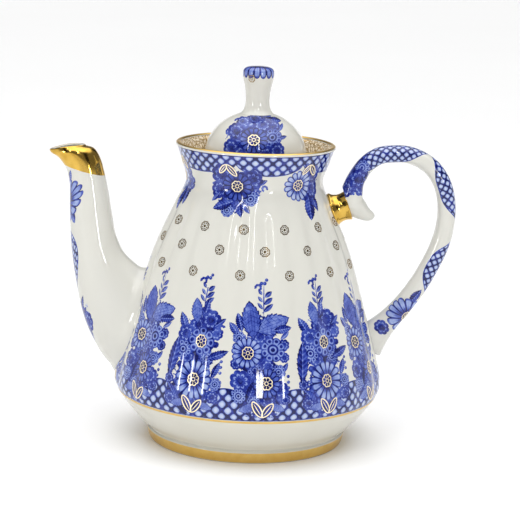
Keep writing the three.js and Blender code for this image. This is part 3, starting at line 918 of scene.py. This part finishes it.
SPOUT_SECTIONS = [
    (-43.8, 47.2, -52, 23.7, 16), (-55.5, 54.8, -60, 22.2, 15), (-63.1, 62.6, -63, 20.2, 13.9),
    (-68.3, 71, -61, 17.8, 12.7), (-72, 83.5, -52, 14.3, 11.2), (-74.2, 97.5, -36, 11.4, 9.8),
    (-75.4, 109.5, -24, 9.6, 8.8), (-76.4, 118.5, -17, 8.4, 8.1), (-78.1, 125.3, -14, 8.2, 7.6),
    (-80.9, 129.9, -10, 8.9, 7.2), (-83.6, 132.0, -9, 9.5, 6.8), (-85.6, 133.1, -8, 8.4, 5.8),
]
SPOUT_SIDES = 96
SPOUT_WALL = 2.2
LIP_WALL = 1.3
GILT_FROM = 122.9
GILT_EDGE = (0.24, 0, 1)             # square to the gilding's lower edge
SPOUT_LENS_Z, SPOUT_LENS_LONG, SPOUT_LENS_WIDE = 80.5, 17.0, 10.8
SPOUT_NET_PITCH = 1.9
SPOUT_DAISY_Z, SPOUT_BLOOM_Z = 108.5, 52.5
FLANK_LEAN = 0.93                    # cosine of the flank's lean from upright


def spout_surface(sections, inset):
    """Points [row, side] of the spout moved in by an inset, one for each row."""
    phi = np.arange(SPOUT_SIDES) * TAU / SPOUT_SIDES
    x, z, slope, tall, wide = [sections[:, k][:, None] for k in range(5)]
    inset = np.asarray(inset)[:, None]
    turn = np.radians(slope)
    row = np.linspace(0, 1, len(sections))[:, None]
    beak = smoothstep(0.84, 1.0, row)
    along = (tall - inset) * np.cos(phi)
    narrow = 1 - 0.34 * beak * np.clip(-np.cos(phi), 0, 1) ** 2
    across = (wide - inset) * np.sin(phi) * narrow
    dip = beak * (-0.5 * np.sin(phi) ** 2 + 0.3 * np.clip(-np.cos(phi), 0, 1))
    return np.stack([x + along * np.cos(turn), across + 0 * x, z - along * np.sin(turn) - dip], -1)


def body_gap(points):
    """Distance outside the body's flank, roughly along its normal."""
    x, y, z = points[..., 0], points[..., 1], points[..., 2]
    return (np.hypot(x, y) - body_radius(np.arctan2(y, x), z)) * FLANK_LEAN


def trimmed(surface, depth, count):
    """Each side of the surface cut off `depth` inside the body's wall and spaced evenly."""
    out = np.empty((count, surface.shape[1], 3))
    share = np.linspace(0, 1, count) ** 1.15
    for side in range(surface.shape[1]):
        line = surface[:, side]
        gap = body_gap(line)
        inside = np.flatnonzero(gap < -depth)
        start = inside[-1] if len(inside) else 0
        t = (-depth - gap[start]) / (gap[start + 1] - gap[start])
        first = line[start] + t * (line[start + 1] - line[start])
        line = np.concatenate([[first], line[start + 1:]])
        length = lengths(line)
        out[:, side] = sample(line, length, share * length[-1])
    return out


def flare(points, reach, size):
    """Swell the foot of a piece where it is luted on, so that it runs into the body."""
    middle = points.mean(axis=1, keepdims=True)
    outward = points - middle
    outward /= np.linalg.norm(outward, axis=2, keepdims=True)
    near = np.clip(1 - np.clip(body_gap(points), 0, reach) / reach, 0, 1)
    return points + outward * (size * near ** 2.2)[..., None]


SPOUT_DAISY = [
    *both_sides(LEAF, -4.0, 10.4, 120, 3.8, 1.6, 0.6),
    *both_sides(LEAF, -7.0, -9.0, 245, 3.8, 1.6, 0.6),
    (DAISY, 0, 0, 0, 13.2, 10.4, 0.35), (BERRY, 0, 0, 0, 2.6, 2.4, 0.9),
]
SPOUT_BLOOM = [
    (WASH, 0, 0, 90, 10, 13, 0), *both_sides(LEAF, 7.4, 6.4, 40, 4.4, 2.1, 0.8),
    *both_sides(ROSE, 9.2, -3.0, 5.0, 0.6), *both_sides(ROSE, 4.8, -7.0, 4.0, 0.5),
    (ROSE, 0, 1.0, 0, 8.4, 7.0, 0.7),
]


def make_spout():
    sections = catmull(SPOUT_SECTIONS, 14)
    rows = len(sections)
    thinning = smoothstep(0.7, 1, np.linspace(0, 1, rows))
    inner = spout_surface(sections, SPOUT_WALL + (LIP_WALL - SPOUT_WALL) * thinning)
    outer = flare(trimmed(spout_surface(sections, np.zeros(rows)), 1.0, 116), 5.0, 1.9)
    inner = trimmed(inner, 0.6, 64)
    middle, half = (outer[-1] + inner[-1]) / 2, (outer[-1] - inner[-1]) / 2
    lip = np.array([middle + half * math.cos(turn) + np.array([-0.1, 0, 0.6]) * math.sin(turn)
                    for turn in np.radians([30, 60, 90, 120, 150])])
    grid = Grid("spout_tube", np.concatenate([outer, lip, inner[::-1]]), True)
    ridge = outer[:, SPOUT_SIDES // 2]
    along = lengths(ridge)
    girth = np.linalg.norm(outer - outer.mean(axis=1, keepdims=True), axis=2).mean(axis=1)
    rest = np.ones(len(lip) + len(inner))
    up = grid.corners(np.concatenate([along, rest * UNPAINTED]))
    turn = grid.angles() - math.pi
    across = turn * grid.corners(np.concatenate([girth, rest]))
    spot = lambda z: float(np.interp(z, ridge[:, 2], along))
    lens = 1 - np.abs((up - spot(SPOUT_LENS_Z)) / SPOUT_LENS_LONG) ** 2
    outside = grid.faces_in_rows(0, len(outer) - 1)[:, None]
    field = np.where(outside, lens * SPOUT_LENS_WIDE - np.abs(across), OUTSIDE)
    net = np.stack([across / SPOUT_NET_PITCH, up / SPOUT_NET_PITCH, field], -1)
    motifs = (placed(SPOUT_DAISY, 0.0, spot(SPOUT_DAISY_Z))
              + placed(SPOUT_BLOOM, 0.0, spot(SPOUT_BLOOM_Z)))
    paint(grid.mesh, turn, np.where(outside, up, UNPAINTED),
          lambda length: np.interp(length, along, girth), motifs, net)
    hidden = ~grid.faces_in_rows(0, len(outer) + len(lip) - 2)
    obj = grid.finish(painted, bright_gold, porcelain, index=2 * hidden)
    gild_above(obj, Vector((-76.3, 0, GILT_FROM)) * MM, Vector(GILT_EDGE))
    return obj


def gild_above(obj, spot, normal):
    """Cut a clean edge round the piece on a plane, and gild what lies above it."""
    bm = bmesh.new()
    bm.from_mesh(obj.data)
    bmesh.ops.bisect_plane(bm, geom=bm.verts[:] + bm.edges[:] + bm.faces[:], dist=1e-7,
                           plane_co=spot, plane_no=normal)
    for face in bm.faces:
        if face.material_index == 0 and (face.calc_center_median() - spot).dot(normal) > 0:
            face.material_index = 1
    bm.to_mesh(obj.data)
    bm.free()


place(make_spout(), POT, "porcelain_painted", "spout")

# ---- Handle socket ----

SOCKET_SLOPE = math.radians(19)
SOCKET_END = np.array([43.0, 0, 111.1])
SOCKET_AXIS = np.array([math.cos(SOCKET_SLOPE), 0, math.sin(SOCKET_SLOPE)])
SOCKET_SIDE = np.array([-math.sin(SOCKET_SLOPE), 0, math.cos(SOCKET_SLOPE)])


def make_socket():
    outline = np.concatenate([
        [(0, -11.3)], [(7.2, -11.3)],
        catmull([(7.6, -7.9), (7.9, -6.9), (7.4, -6.1), (6.8, -5.2), (6.3, -3.6), (6.3, -2.0),
                 (6.6, -0.6), (6.75, 0.1), (6.3, 0.5)], 5),
        [(5.0, 0.6), (0, 0.6)],
    ])
    grid = turned("gilded_socket", outline, 96)
    points = np.empty((len(grid.mesh.vertices), 3))
    grid.mesh.vertices.foreach_get("co", points.reshape(-1))
    moved = (SOCKET_END * MM + points[:, 2:3] * SOCKET_AXIS + points[:, 0:1] * SOCKET_SIDE
             + points[:, 1:2] * np.array([0, 1, 0]))
    grid.mesh.vertices.foreach_set("co", moved.reshape(-1))
    return grid.finish(bright_gold)


place(make_socket(), POT, "gilding", "handle_socket")

# ---- Handle ----
# Middle line from the socket round to the lower body: x, z, half the thickness in the plane
# of the loop, and half the width across it.

HANDLE_SECTIONS = [
    (44, 110.9, 5.8, 6.1), (44.5, 116.5, 5.2, 5.9), (46, 122.8, 4.3, 5.5), (50.3, 130, 4, 5.2),
    (56, 134.4, 3.9, 5.1), (62.4, 135.7, 3.9, 5.1), (69.2, 135.6, 3.9, 5), (76, 133.3, 3.9, 5),
    (82, 128.7, 4, 5), (86.4, 121.4, 4.1, 5), (88.3, 112.6, 4.2, 5), (88.1, 103.6, 4.2, 5),
    (86.2, 94.6, 4.3, 5.1), (82.4, 85.2, 4.3, 5.2), (77.4, 75.6, 4.4, 5.4), (71.4, 66.7, 4.5, 5.7),
    (64.7, 58.6, 5.0, 6.1), (58.9, 51.9, 6.6, 6.8), (54.4, 46, 8.4, 7),
]
SPUR_SECTIONS = [
    (44.2, 112.4, 5.4), (47.2, 110.4, 4.9), (49.8, 108.4, 3.8), (52.0, 107.2, 3.0),
    (53.8, 106.9, 2.3), (54.9, 107.0, 1.6), (55.6, 107.1, 0.6),
]
HANDLE_SIDES = 48
HANDLE_GIRTH = 4.8              # millimetres in one radian round the loop
HANDLE_SHRINK = 0.02            # how far the welded skin lies inside the sections
HANDLE_SPINE = evenly(catmull(HANDLE_SECTIONS, 14), 220)
HANDLE_LENGTH = lengths(HANDLE_SPINE[:, :2])
HANDLE_TANGENT = tangents(HANDLE_SPINE[:, :2])
HANDLE_SKIN = 0.00055           # grid of the skin over loop and spur, in metres
HANDLE_BITE = 1.0               # how far the handle reaches into the body's wall
HANDLE_PATCH_AT = 13.5
HANDLE_NET_PITCH = 1.75
# Stretches of net: middle and half length along the loop, and half width.
HANDLE_RIBBONS = ((31.0, 19.0, 13.0), (65.0, 15.5, 10.4), (101.5, 14.6, 9.8))
HANDLE_PATCH = [
    (WASH, 0, 1, 90, 10.5, 13, 0), *both_sides(ROSE, -11, -3.6, 4.0, 0.5),
    *both_sides(RING, -6.4, 5.6, 3.6, 0.4), *both_sides(ROSE, -4.4, -5.4, 3.8, 0.5),
    *both_sides(ROSE, -8.0, 0.6, 0, 4.6, 5.0, 0.8),
    (ROSE, 0, 0, 4.4, 0.6), (LEAF, 0, -7.4, 270, 3.8, 1.7, 0.7),
]
HANDLE_DAISY_AT = (127.5, -0.62)     # length along the loop, and turn towards the front
HANDLE_DAISY = [
    *both_sides(LEAF, -3.4, -9.6, 96, 4.4, 1.9, 0.7), *both_sides(ROSE, -5.4, 11.0, 3.2, 0.7),
    (DAISY, 0, 0, 0, 10.5, 8.6, 0.25), (BERRY, 0, 0, 2.6, 1.0),
]


def squared(share):
    """A cosine or sine bent so that a section is a little squarer than an ellipse."""
    return np.sign(share) * np.abs(share) ** 0.88


def capped(points):
    """Rows of points closed at both ends by a row drawn together in its middle."""
    ends = [np.repeat(row.mean(axis=1, keepdims=True), points.shape[1], 1)
            for row in (points[:1], points[-1:])]
    return np.concatenate([ends[0], points, ends[1]])


def tube(name, curve, sides):
    """A closed tube along rows of x, z, half thickness in the plane and half width across."""
    x, z, thick, wide = [column[:, None] for column in curve.T]
    tangent = tangents(curve[:, :2])
    in_plane = thick * squared(np.cos(turns(sides)))
    across = wide * squared(np.sin(turns(sides)))
    points = np.stack([x - in_plane * tangent[:, 1:], across, z + in_plane * tangent[:, :1]], -1)
    return Grid(name, capped(points)).finish()


def carve_outside_body(obj, depth):
    """Keep only what stands outside the body's wall, less a little depth to bite into it."""
    angle = turns(RIBS * 8)
    heights = np.linspace(24, 128, 70)
    radius = body_radius(angle, heights[:, None]) - depth
    plug = Grid("plug", capped(revolve(radius, heights, angle))).finish()
    solid = bmesh.new()
    solid.from_mesh(plug.data)
    bpy.data.objects.remove(plug)
    subtract(obj, solid)


def cut_behind_socket(obj):
    """Cut the handle off square where it meets the socket."""
    size = 40 * MM
    middle = SOCKET_END * MM - SOCKET_AXIS * (size / 2 - 0.0001)
    spot = Matrix.Translation(Vector(middle)) @ Matrix.Rotation(-SOCKET_SLOPE, 4, "Y")
    solid = bmesh.new()
    bmesh.ops.create_cube(solid, size=size, matrix=spot)
    subtract(obj, solid)


def handle_places(mesh):
    """For each vertex: length along the handle's middle line and turn around it."""
    points = np.empty((len(mesh.vertices), 3))
    mesh.vertices.foreach_get("co", points.reshape(-1))
    points /= MM
    flat = points[:, [0, 2]]
    far = ((flat[:, None, :] - HANDLE_SPINE[None, :, :2]) ** 2).sum(axis=2)
    near = far.argmin(axis=1)
    offset, tangent = flat - HANDLE_SPINE[near, :2], HANDLE_TANGENT[near]
    outward = -(offset[:, 0] * tangent[:, 1] - offset[:, 1] * tangent[:, 0])
    return (HANDLE_LENGTH[near] + (offset * tangent).sum(axis=1),
            np.arctan2(points[:, 1], outward))


def read_ints(collection, name):
    values = np.empty(len(collection), int)
    collection.foreach_get(name, values)
    return values


def paint_handle(mesh):
    along, turn = handle_places(mesh)
    vertex = read_ints(mesh.loops, "vertex_index")
    total = read_ints(mesh.polygons, "loop_total")[:, None]
    order = np.minimum(np.arange(4), total - 1) + read_ints(mesh.polygons, "loop_start")[:, None]
    s, t = along[vertex[order]], turn[vertex[order]]
    t = t[:, :1] + (t - t[:, :1] + math.pi) % TAU - math.pi
    across = t * HANDLE_GIRTH
    field = np.full(s.shape, OUTSIDE)
    for middle, half, wide in HANDLE_RIBBONS:
        share = np.clip(1 - np.abs((s - middle) / half) ** 2.6, -1, 1)
        field = np.maximum(field, share * wide - np.abs(across))
    net = np.stack([across / HANDLE_NET_PITCH, s / HANDLE_NET_PITCH, field], -1)
    motifs = (placed(HANDLE_PATCH, 0.0, HANDLE_PATCH_AT)
              + placed(HANDLE_DAISY, *HANDLE_DAISY_AT[::-1]))
    paint(mesh, t, s, lambda v: np.full_like(v, HANDLE_GIRTH), motifs, net, order=order)


def make_handle():
    loop = tube("handle_loop", HANDLE_SPINE, HANDLE_SIDES)
    curve = catmull(SPUR_SECTIONS, 6)
    spur = tube("spur", np.column_stack([curve, curve[:, 2] * 1.12]), 32)
    with bpy.context.temp_override(active_object=loop, selected_editable_objects=[loop, spur]):
        bpy.ops.object.join()
    remesh = loop.modifiers.new("skin", "REMESH")
    remesh.mode = "VOXEL"
    remesh.voxel_size = HANDLE_SKIN
    relax = loop.modifiers.new("relax", "SMOOTH")
    relax.factor = 0.5
    relax.iterations = 6
    apply_modifiers(loop)
    cut_behind_socket(loop)
    carve_outside_body(loop, HANDLE_BITE)
    tidy(loop)
    paint_handle(loop.data)
    loop.data.materials.append(painted)
    return loop


place(make_handle(), POT, "porcelain_painted", "handle")

# ---- Lid and knob ----

LID_GAP = 0.3
CROWN = math.acos(7 / DOME_RADIUS) + 0.08
DOME_ROWS = 90
LID_HEART_Z = 142.5
VENT_AT = (0, 16, 147.5)
VENT_RADIUS = 1.4
LID_TURNS = [FRONT - math.radians(3) + k * TAU / 2 for k in range(2)]


def dome_outline(shrink, start, end, count):
    turn = np.linspace(start, end, count)
    return np.stack([(DOME_RADIUS - shrink) * np.cos(turn),
                     DOME_BASE_Z + (DOME_RISE - shrink) * np.sin(turn)], 1)


def make_lid():
    bottom = LEDGE_Z + LID_GAP
    skirt = THROAT_RADIUS - 0.8
    flange = LEDGE_RADIUS - 0.8
    dome = dome_outline(0, 0, CROWN, DOME_ROWS)
    below = np.concatenate([
        dome_outline(2.6, math.pi / 2, 0, 40),
        [(21.6, bottom), (21.6, bottom - 11.7),
         (21.9, bottom - 12), (23.5, bottom - 12), (23.9, bottom - 11.6), (skirt, bottom - 0.2),
         (skirt + 0.2, bottom), (flange - 0.4, bottom), (flange, bottom + 0.4),
         (flange, bottom + 1.9), (flange - 0.5, bottom + 2.4), (24.6, bottom + 2.7),
         (23.7, bottom + 3.6)],
    ])
    first = len(below)
    outline = np.concatenate([below, dome, [(0, float(dome[-1][1]))]])
    grid = turned("lid_dome", outline, 240)
    length = lengths(dome)
    outside = grid.faces_in_rows(first, first + DOME_ROWS - 1)
    up = grid.corners(np.concatenate([np.zeros(first), length, [0]]))
    net = np.zeros(up.shape + (3,))
    net[..., 2] = OUTSIDE
    heart = float(np.interp(LID_HEART_Z, dome[:, 1], length))
    motifs = [motif for turn in LID_TURNS for motif in placed(LID_BOUQUET, turn, heart)]
    paint(grid.mesh, grid.angles(), np.where(outside[:, None], up, UNPAINTED),
          lambda v: np.interp(v, length, dome[:, 0]), motifs, net, period=TAU)
    obj = grid.finish(painted)
    vent = bmesh.new()
    drill(vent, VENT_RADIUS, VENT_AT, -27, "X")
    subtract(obj, vent)
    return obj


KNOB_OUTLINE = catmull([
    (9.2, 150.6), (7.2, 152.3), (5.9, 154.4), (5.4, 158), (5.8, 163), (6.8, 167.6), (7.1, 170),
    (6.7, 171.9), (5.0, 173.0), (2.4, 173.4), (0, 173.5)], 8)
KNOB_PETALS = 11.0                   # length of the petals from the middle of the knob's top


def make_knob():
    outline = np.concatenate([[(0, 150.4), (6.0, 150.4)], KNOB_OUTLINE])
    outline[:, 0] = np.maximum(outline[:, 0], 0)
    grid = turned("knob", outline, 128)
    down = grid.corners(lengths(outline[::-1])[::-1])
    layers = np.zeros((LAYERS,) + down.shape + (3,))
    for axis, share in enumerate((np.cos(grid.angles()), np.sin(grid.angles()))):
        layers[0, ..., axis] = down * share / KNOB_PETALS
    layers[0, ..., 2] = DAISY + 0.9 * 0.5
    layers[0, down.min(axis=1) > KNOB_PETALS * MARGIN] = 0
    net = np.full(down.shape + (3,), OUTSIDE)
    write_paint(grid.mesh, layers, net, net)
    return grid.finish(painted)


place(make_lid(), LID, "porcelain_painted", "lid")
place(make_knob(), LID, "porcelain_painted", "lid_knob")

# ---- Gilding: thin raised films ----

FILM = 0.07                     # how far a film stands above the glaze
SINK = 0.05                     # how far it reaches into it


def film_band(name, outline):
    """A turned band that wraps a stretch of outline, as a thin closed film."""
    outline = np.asarray(outline, float)
    tangent = tangents(outline)
    normal = np.stack([tangent[:, 1], -tangent[:, 0]], 1)
    rows = np.concatenate([outline + normal * FILM, (outline - normal * SINK)[::-1]])
    place(turned(name, rows, 256, wrap=True).finish(band_gold), POT, "gilding")


# Each of these gives a function that maps motif millimetres round a place on a piece, and a
# height above it, to points.


def on_body(angle, z):
    scale, start = float(flank_radius(z)), float(flank_at(z))
    delta = 0.01

    def at(a, h):
        r = body_radius(a, h)
        return np.array([r * np.cos(a), r * np.sin(a), h + 0 * a])

    def spot(x, y, lift):
        a, h = angle + x / scale, flank_z(start + y)
        point = at(a, h)
        normal = np.cross(at(a + delta, h) - point, at(a, h + delta) - point, axis=0)
        return (point + normal / np.linalg.norm(normal, axis=0) * lift).T
    return spot


def on_dome(angle, z):
    outline = dome_outline(0, -0.25, CROWN, 400)
    length = lengths(outline)
    start = float(np.interp(z, outline[:, 1], length))

    def spot(x, y, lift):
        radius, height = sample(outline, length, start + y).T
        nx = radius / DOME_RADIUS ** 2
        nz = (height - DOME_BASE_Z) / DOME_RISE ** 2
        size = np.hypot(nx, nz)
        turn = angle + x / radius
        out = radius + lift * nx / size
        return np.stack([out * np.cos(turn), out * np.sin(turn), height + lift * nz / size], 1)
    return spot


def on_knob(angle, z):
    def spot(x, y, lift):
        radius = np.interp(z + y, KNOB_OUTLINE[:, 1], KNOB_OUTLINE[:, 0]) + 1.4 * lift
        turn = angle + x / radius
        return np.stack([radius * np.cos(turn), radius * np.sin(turn), z + y + 0 * x], 1)
    return spot


def on_handle(along, turn):
    def spot(x, y, lift):
        at = lambda values: np.interp(along + y, HANDLE_LENGTH, values)
        cx, cz, thick, wide = [at(column) for column in HANDLE_SPINE.T]
        angle = turn + x / HANDLE_GIRTH
        rise = (thick + lift - HANDLE_SHRINK) * squared(np.cos(angle))
        across = (wide + lift - HANDLE_SHRINK) * squared(np.sin(angle))
        return np.stack([cx - rise * at(HANDLE_TANGENT[:, 1]), across,
                         cz + rise * at(HANDLE_TANGENT[:, 0])], 1)
    return spot


class Film:
    """Gathers thin closed ribbons and dots into one mesh."""

    def __init__(self):
        self.vertices, self.faces = [], []

    def add(self, *rings):
        """Add rings of points, and give the number of the first."""
        base = len(self.vertices)
        for ring in rings:
            self.vertices += (ring * MM).tolist()
        return base

    def side(self, low, high, count):
        """Faces from one ring to another."""
        for k in range(count):
            b = (k + 1) % count
            self.faces.append((low + k, low + b, high + b, high + k))

    def ribbon(self, spot, x, y, width):
        """A closed line of a given width through the points (x, y)."""
        count = len(x)
        dx = np.roll(x, -1) - np.roll(x, 1)
        dy = np.roll(y, -1) - np.roll(y, 1)
        size = np.maximum(np.hypot(dx, dy), 1e-9)
        nx, ny = dy / size * width / 2, -dx / size * width / 2
        base = self.add(spot(x + nx, y + ny, -SINK), spot(x + nx, y + ny, FILM),
                        spot(x - nx, y - ny, FILM), spot(x - nx, y - ny, -SINK))
        for row in range(4):
            self.side(base + row * count, base + (row + 1) % 4 * count, count)

    def dot(self, spot, x, y, long, wide, turn, sides=10):
        phi = turns(sides)
        px, py = long * np.cos(phi), wide * np.sin(phi)
        qx = x + px * math.cos(turn) - py * math.sin(turn)
        qy = y + px * math.sin(turn) + py * math.cos(turn)
        base = self.add(spot(qx, qy, -SINK), spot(qx, qy, FILM))
        self.faces.append(tuple(base + k for k in reversed(range(sides))))
        self.faces.append(tuple(base + sides + k for k in range(sides)))
        self.side(base, base + sides, sides)

    def blossom(self, spot, size, x=0, y=0, full=True):
        """An eight-petalled blossom. On white it is made of dots; on blue it is outlined."""
        phi = turns(64)
        lobes = size * (0.86 + 0.14 * np.abs(np.sin(phi * 4)))
        self.ribbon(spot, x + lobes * np.cos(phi), y + lobes * np.sin(phi), 0.17 * size)
        ring, eye = turns(24), 0.3 * size
        if full:
            self.ribbon(spot, x + eye * np.cos(ring), y + eye * np.sin(ring), 0.12 * size)
        else:
            self.dot(spot, x, y, 0.27 * size, 0.27 * size, 0)
        long, wide, shift = (0.16, 0.045, 0) if full else (0.17, 0.13, 0.5)
        far = 0.62 * size
        for k in range(8):
            turn = (k + shift) * TAU / 8
            self.dot(spot, x + far * math.cos(turn), y + far * math.sin(turn), long * size,
                     wide * size, turn)

    def leaf(self, spot, x, y, length, width, degrees):
        """A leaf outline with a middle vein, from its foot at (x, y)."""
        t = np.linspace(0, math.pi, 22)
        upper = np.stack([(1 - np.cos(t)) / 2 * length, np.sin(t) ** 1.3 * width], 1)
        lower = np.stack([upper[::-1, 0], -upper[::-1, 1]], 1)[1:-1]
        px, py = np.concatenate([upper, lower]).T
        turn = math.radians(degrees)
        cos, sin = math.cos(turn), math.sin(turn)
        self.ribbon(spot, x + px * cos - py * sin, y + px * sin + py * cos, 0.52)
        vein = 0.52 * length
        self.dot(spot, x + vein * cos, y + vein * sin, 0.36 * length, 0.18, turn)

    def finish(self, name, body_name, material):
        mesh = bpy.data.meshes.new(name)
        mesh.from_pydata(self.vertices, [], self.faces)
        obj = tidy(new_object(name, mesh), merge=False, crease=30)
        mesh.materials.append(material)
        place(obj, body_name, "gilding")


BLOSSOMS = 13
BLOSSOM_ROWS = ((105.0, 0.0), (96.0, 0.5), (86.0, 0.0))     # height, and share of a step round
BLOSSOM_PHASE = FRONT - math.radians(6)
BOUQUET_HEARTS = (((2.7, -6.6, 28.6), (2.8, 2.4, 15.2)), ((2.8, 1.6, 32.0), (2.8, 0.4, 14.9)))

scattered = Film()
for row_z, offset in BLOSSOM_ROWS:
    for k in range(BLOSSOMS):
        spot = on_body(BLOSSOM_PHASE + (k + offset) * TAU / BLOSSOMS, row_z)
        scattered.blossom(spot, 2.2, full=False)
# These blossoms take the darker gold, whose darkness is a painted dark reflection.
scattered.finish("gold_blossoms", POT, gold_with_painted_dark_reflection)

hearts = Film()
for k in range(BOUQUETS):
    spot = on_body(BOUQUET_PHASE + k * BOUQUET_STEP, BOUQUET_FOOT_Z)
    for heart in BOUQUET_HEARTS[k % 2]:
        hearts.blossom(spot, *heart)
    hearts.leaf(spot, 0.6, 0.4, 8.2, 1.5, 122)
    hearts.leaf(spot, 0.6, 0.4, 7.6, 1.5, 52)
for design, turn, tip in COLLAR_PLACES:
    spot = on_body(turn, COLLAR_HEART_Z)
    hearts.blossom(spot, 2.5, 0, -0.6 if design is COLLAR_C else 0)
    hearts.leaf(spot, tip, 9.6, 5.4, 1.0, 232)
    hearts.leaf(spot, tip, 9.6, 6.6, 1.2, -52)
hearts.finish("gold_hearts", POT, line_gold)

KNOB_BLOSSOM = on_knob(FRONT - math.radians(26), 168.2)
for name, body_name, material, size, spots in (
        ("gold_lid_hearts", LID, line_gold, 2.6, [on_dome(a, LID_HEART_Z) for a in LID_TURNS]),
        ("gold_handle_heart", POT, line_gold, 2.2, [on_handle(*HANDLE_DAISY_AT)]),
        ("gold_knob_blossom", LID, gold_with_painted_dark_reflection, 1.6, [KNOB_BLOSSOM])):
    film = Film()
    for spot in spots:
        film.blossom(spot, size)
    film.finish(name, body_name, material)

film_band("gold_rim", arc(LIP_CENTRE, LIP_ROUND, 35, 150, 12))
film_band("gold_shoulder_line", [(SEAM_RADIUS - 0.3, SEAM_Z - 0.5), (SEAM_RADIUS, SEAM_Z),
                                 (SEAM_RADIUS + 0.25, SEAM_Z + 0.5)])
film_band("gold_foot_band",
          catmull([(45.95, 5.1), (45.6, 3.2), (45.15, 1.4), (44.75, 0.5)], 5)[::-1])

# ---- Stage, lights and camera ----

AIM = (0, 0, 0.07)
FLOOR = 8.0
CAMERA_AT = (0, -0.8715, 0.2595)
PITCH, ROLL, YAW = math.radians(11.38), math.radians(2.19), math.radians(0.252)
# Name, place, width, height, and power of each light, in metres and watts.
LIGHTS = (("top_softbox", (0.0, -0.2, 1.3), 1.2, 1.2, 2.5),
          ("left_window", (-0.85, -0.8, 0.25), 0.1, 0.2, 1.5),
          ("right_window", (0.52, -1.0, 0.25), 0.09, 0.2, 1.35),
          ("front_strip", (0.16, -1.2, 1.05), 0.03, 0.55, 1.4),
          ("side_strip", (-0.4, -1.1, 1.05), 0.025, 0.55, 1.2))


def make_stage():
    mesh = bpy.data.meshes.new("floor")
    corners = [(-FLOOR, -FLOOR, 0), (FLOOR, -FLOOR, 0), (FLOOR, FLOOR, 0), (-FLOOR, FLOOR, 0)]
    mesh.from_pydata(corners, [], [(0, 1, 2, 3)])
    floor = new_object("floor", mesh)
    material, n, shader = mottled("pale_floor", 3.0, 2.0, "FAFAFA", "FDFDFD")
    n.feed(shader, {"Roughness": 0.6})
    mesh.materials.append(material)


def make_lights():
    for name, stand, width, height, power in LIGHTS:
        light = bpy.data.lights.new(name, "AREA")
        light.shape = "RECTANGLE"
        light.size = width
        light.size_y = height
        light.energy = power
        lamp = new_object(name, light)
        lamp.location = stand
        direction = Vector(AIM) - Vector(stand)
        lamp.rotation_euler = direction.to_track_quat("-Z", "Y").to_euler()


def make_world():
    """A pale studio: white at the horizon and overhead, dimmer walls between, and a dark upright
    flag at each side, which gives the glaze and the gold something to mirror."""
    world = bpy.data.worlds.new("studio")
    world.use_nodes = True
    bpy.context.scene.world = world
    n = Nodes(world.node_tree)
    background = world.node_tree.nodes["Background"]
    side, _, height = n.split(n.new("ShaderNodeTexCoord").outputs["Generated"])
    level = n.fma(n.step(0.62, 0.8, height), 2.35, n.mul(n.step(0.24, 0.1, height), 1.07))
    flag = n.math("ABSOLUTE", n.sub(n.math("ABSOLUTE", side), 0.52))
    open_side = n.math("MAXIMUM", n.step(0.08, 0.14, flag), n.step(0.62, 0.8, height))
    strength = n.mul(n.fma(level, 0.75, 0.2), n.fma(open_side, 0.93, 0.07))
    n.feed(background, {"Color": (1, 1, 1, 1), "Strength": strength})


def make_camera():
    camera = bpy.data.cameras.new("camera")
    camera.lens = 133.5
    camera.sensor_width = 36
    camera.clip_start = 0.01
    eye = new_object("camera", camera)
    turn = (Matrix.Rotation(-YAW, 4, "Z") @ Matrix.Rotation(math.pi / 2 - PITCH, 4, "X")
            @ Matrix.Rotation(ROLL, 4, "Z"))
    eye.matrix_world = Matrix.Translation(Vector(CAMERA_AT)) @ turn
    bpy.context.scene.camera = eye


make_stage()
make_lights()
make_world()
make_camera()
bpy.context.scene.view_settings.view_transform = "Standard"
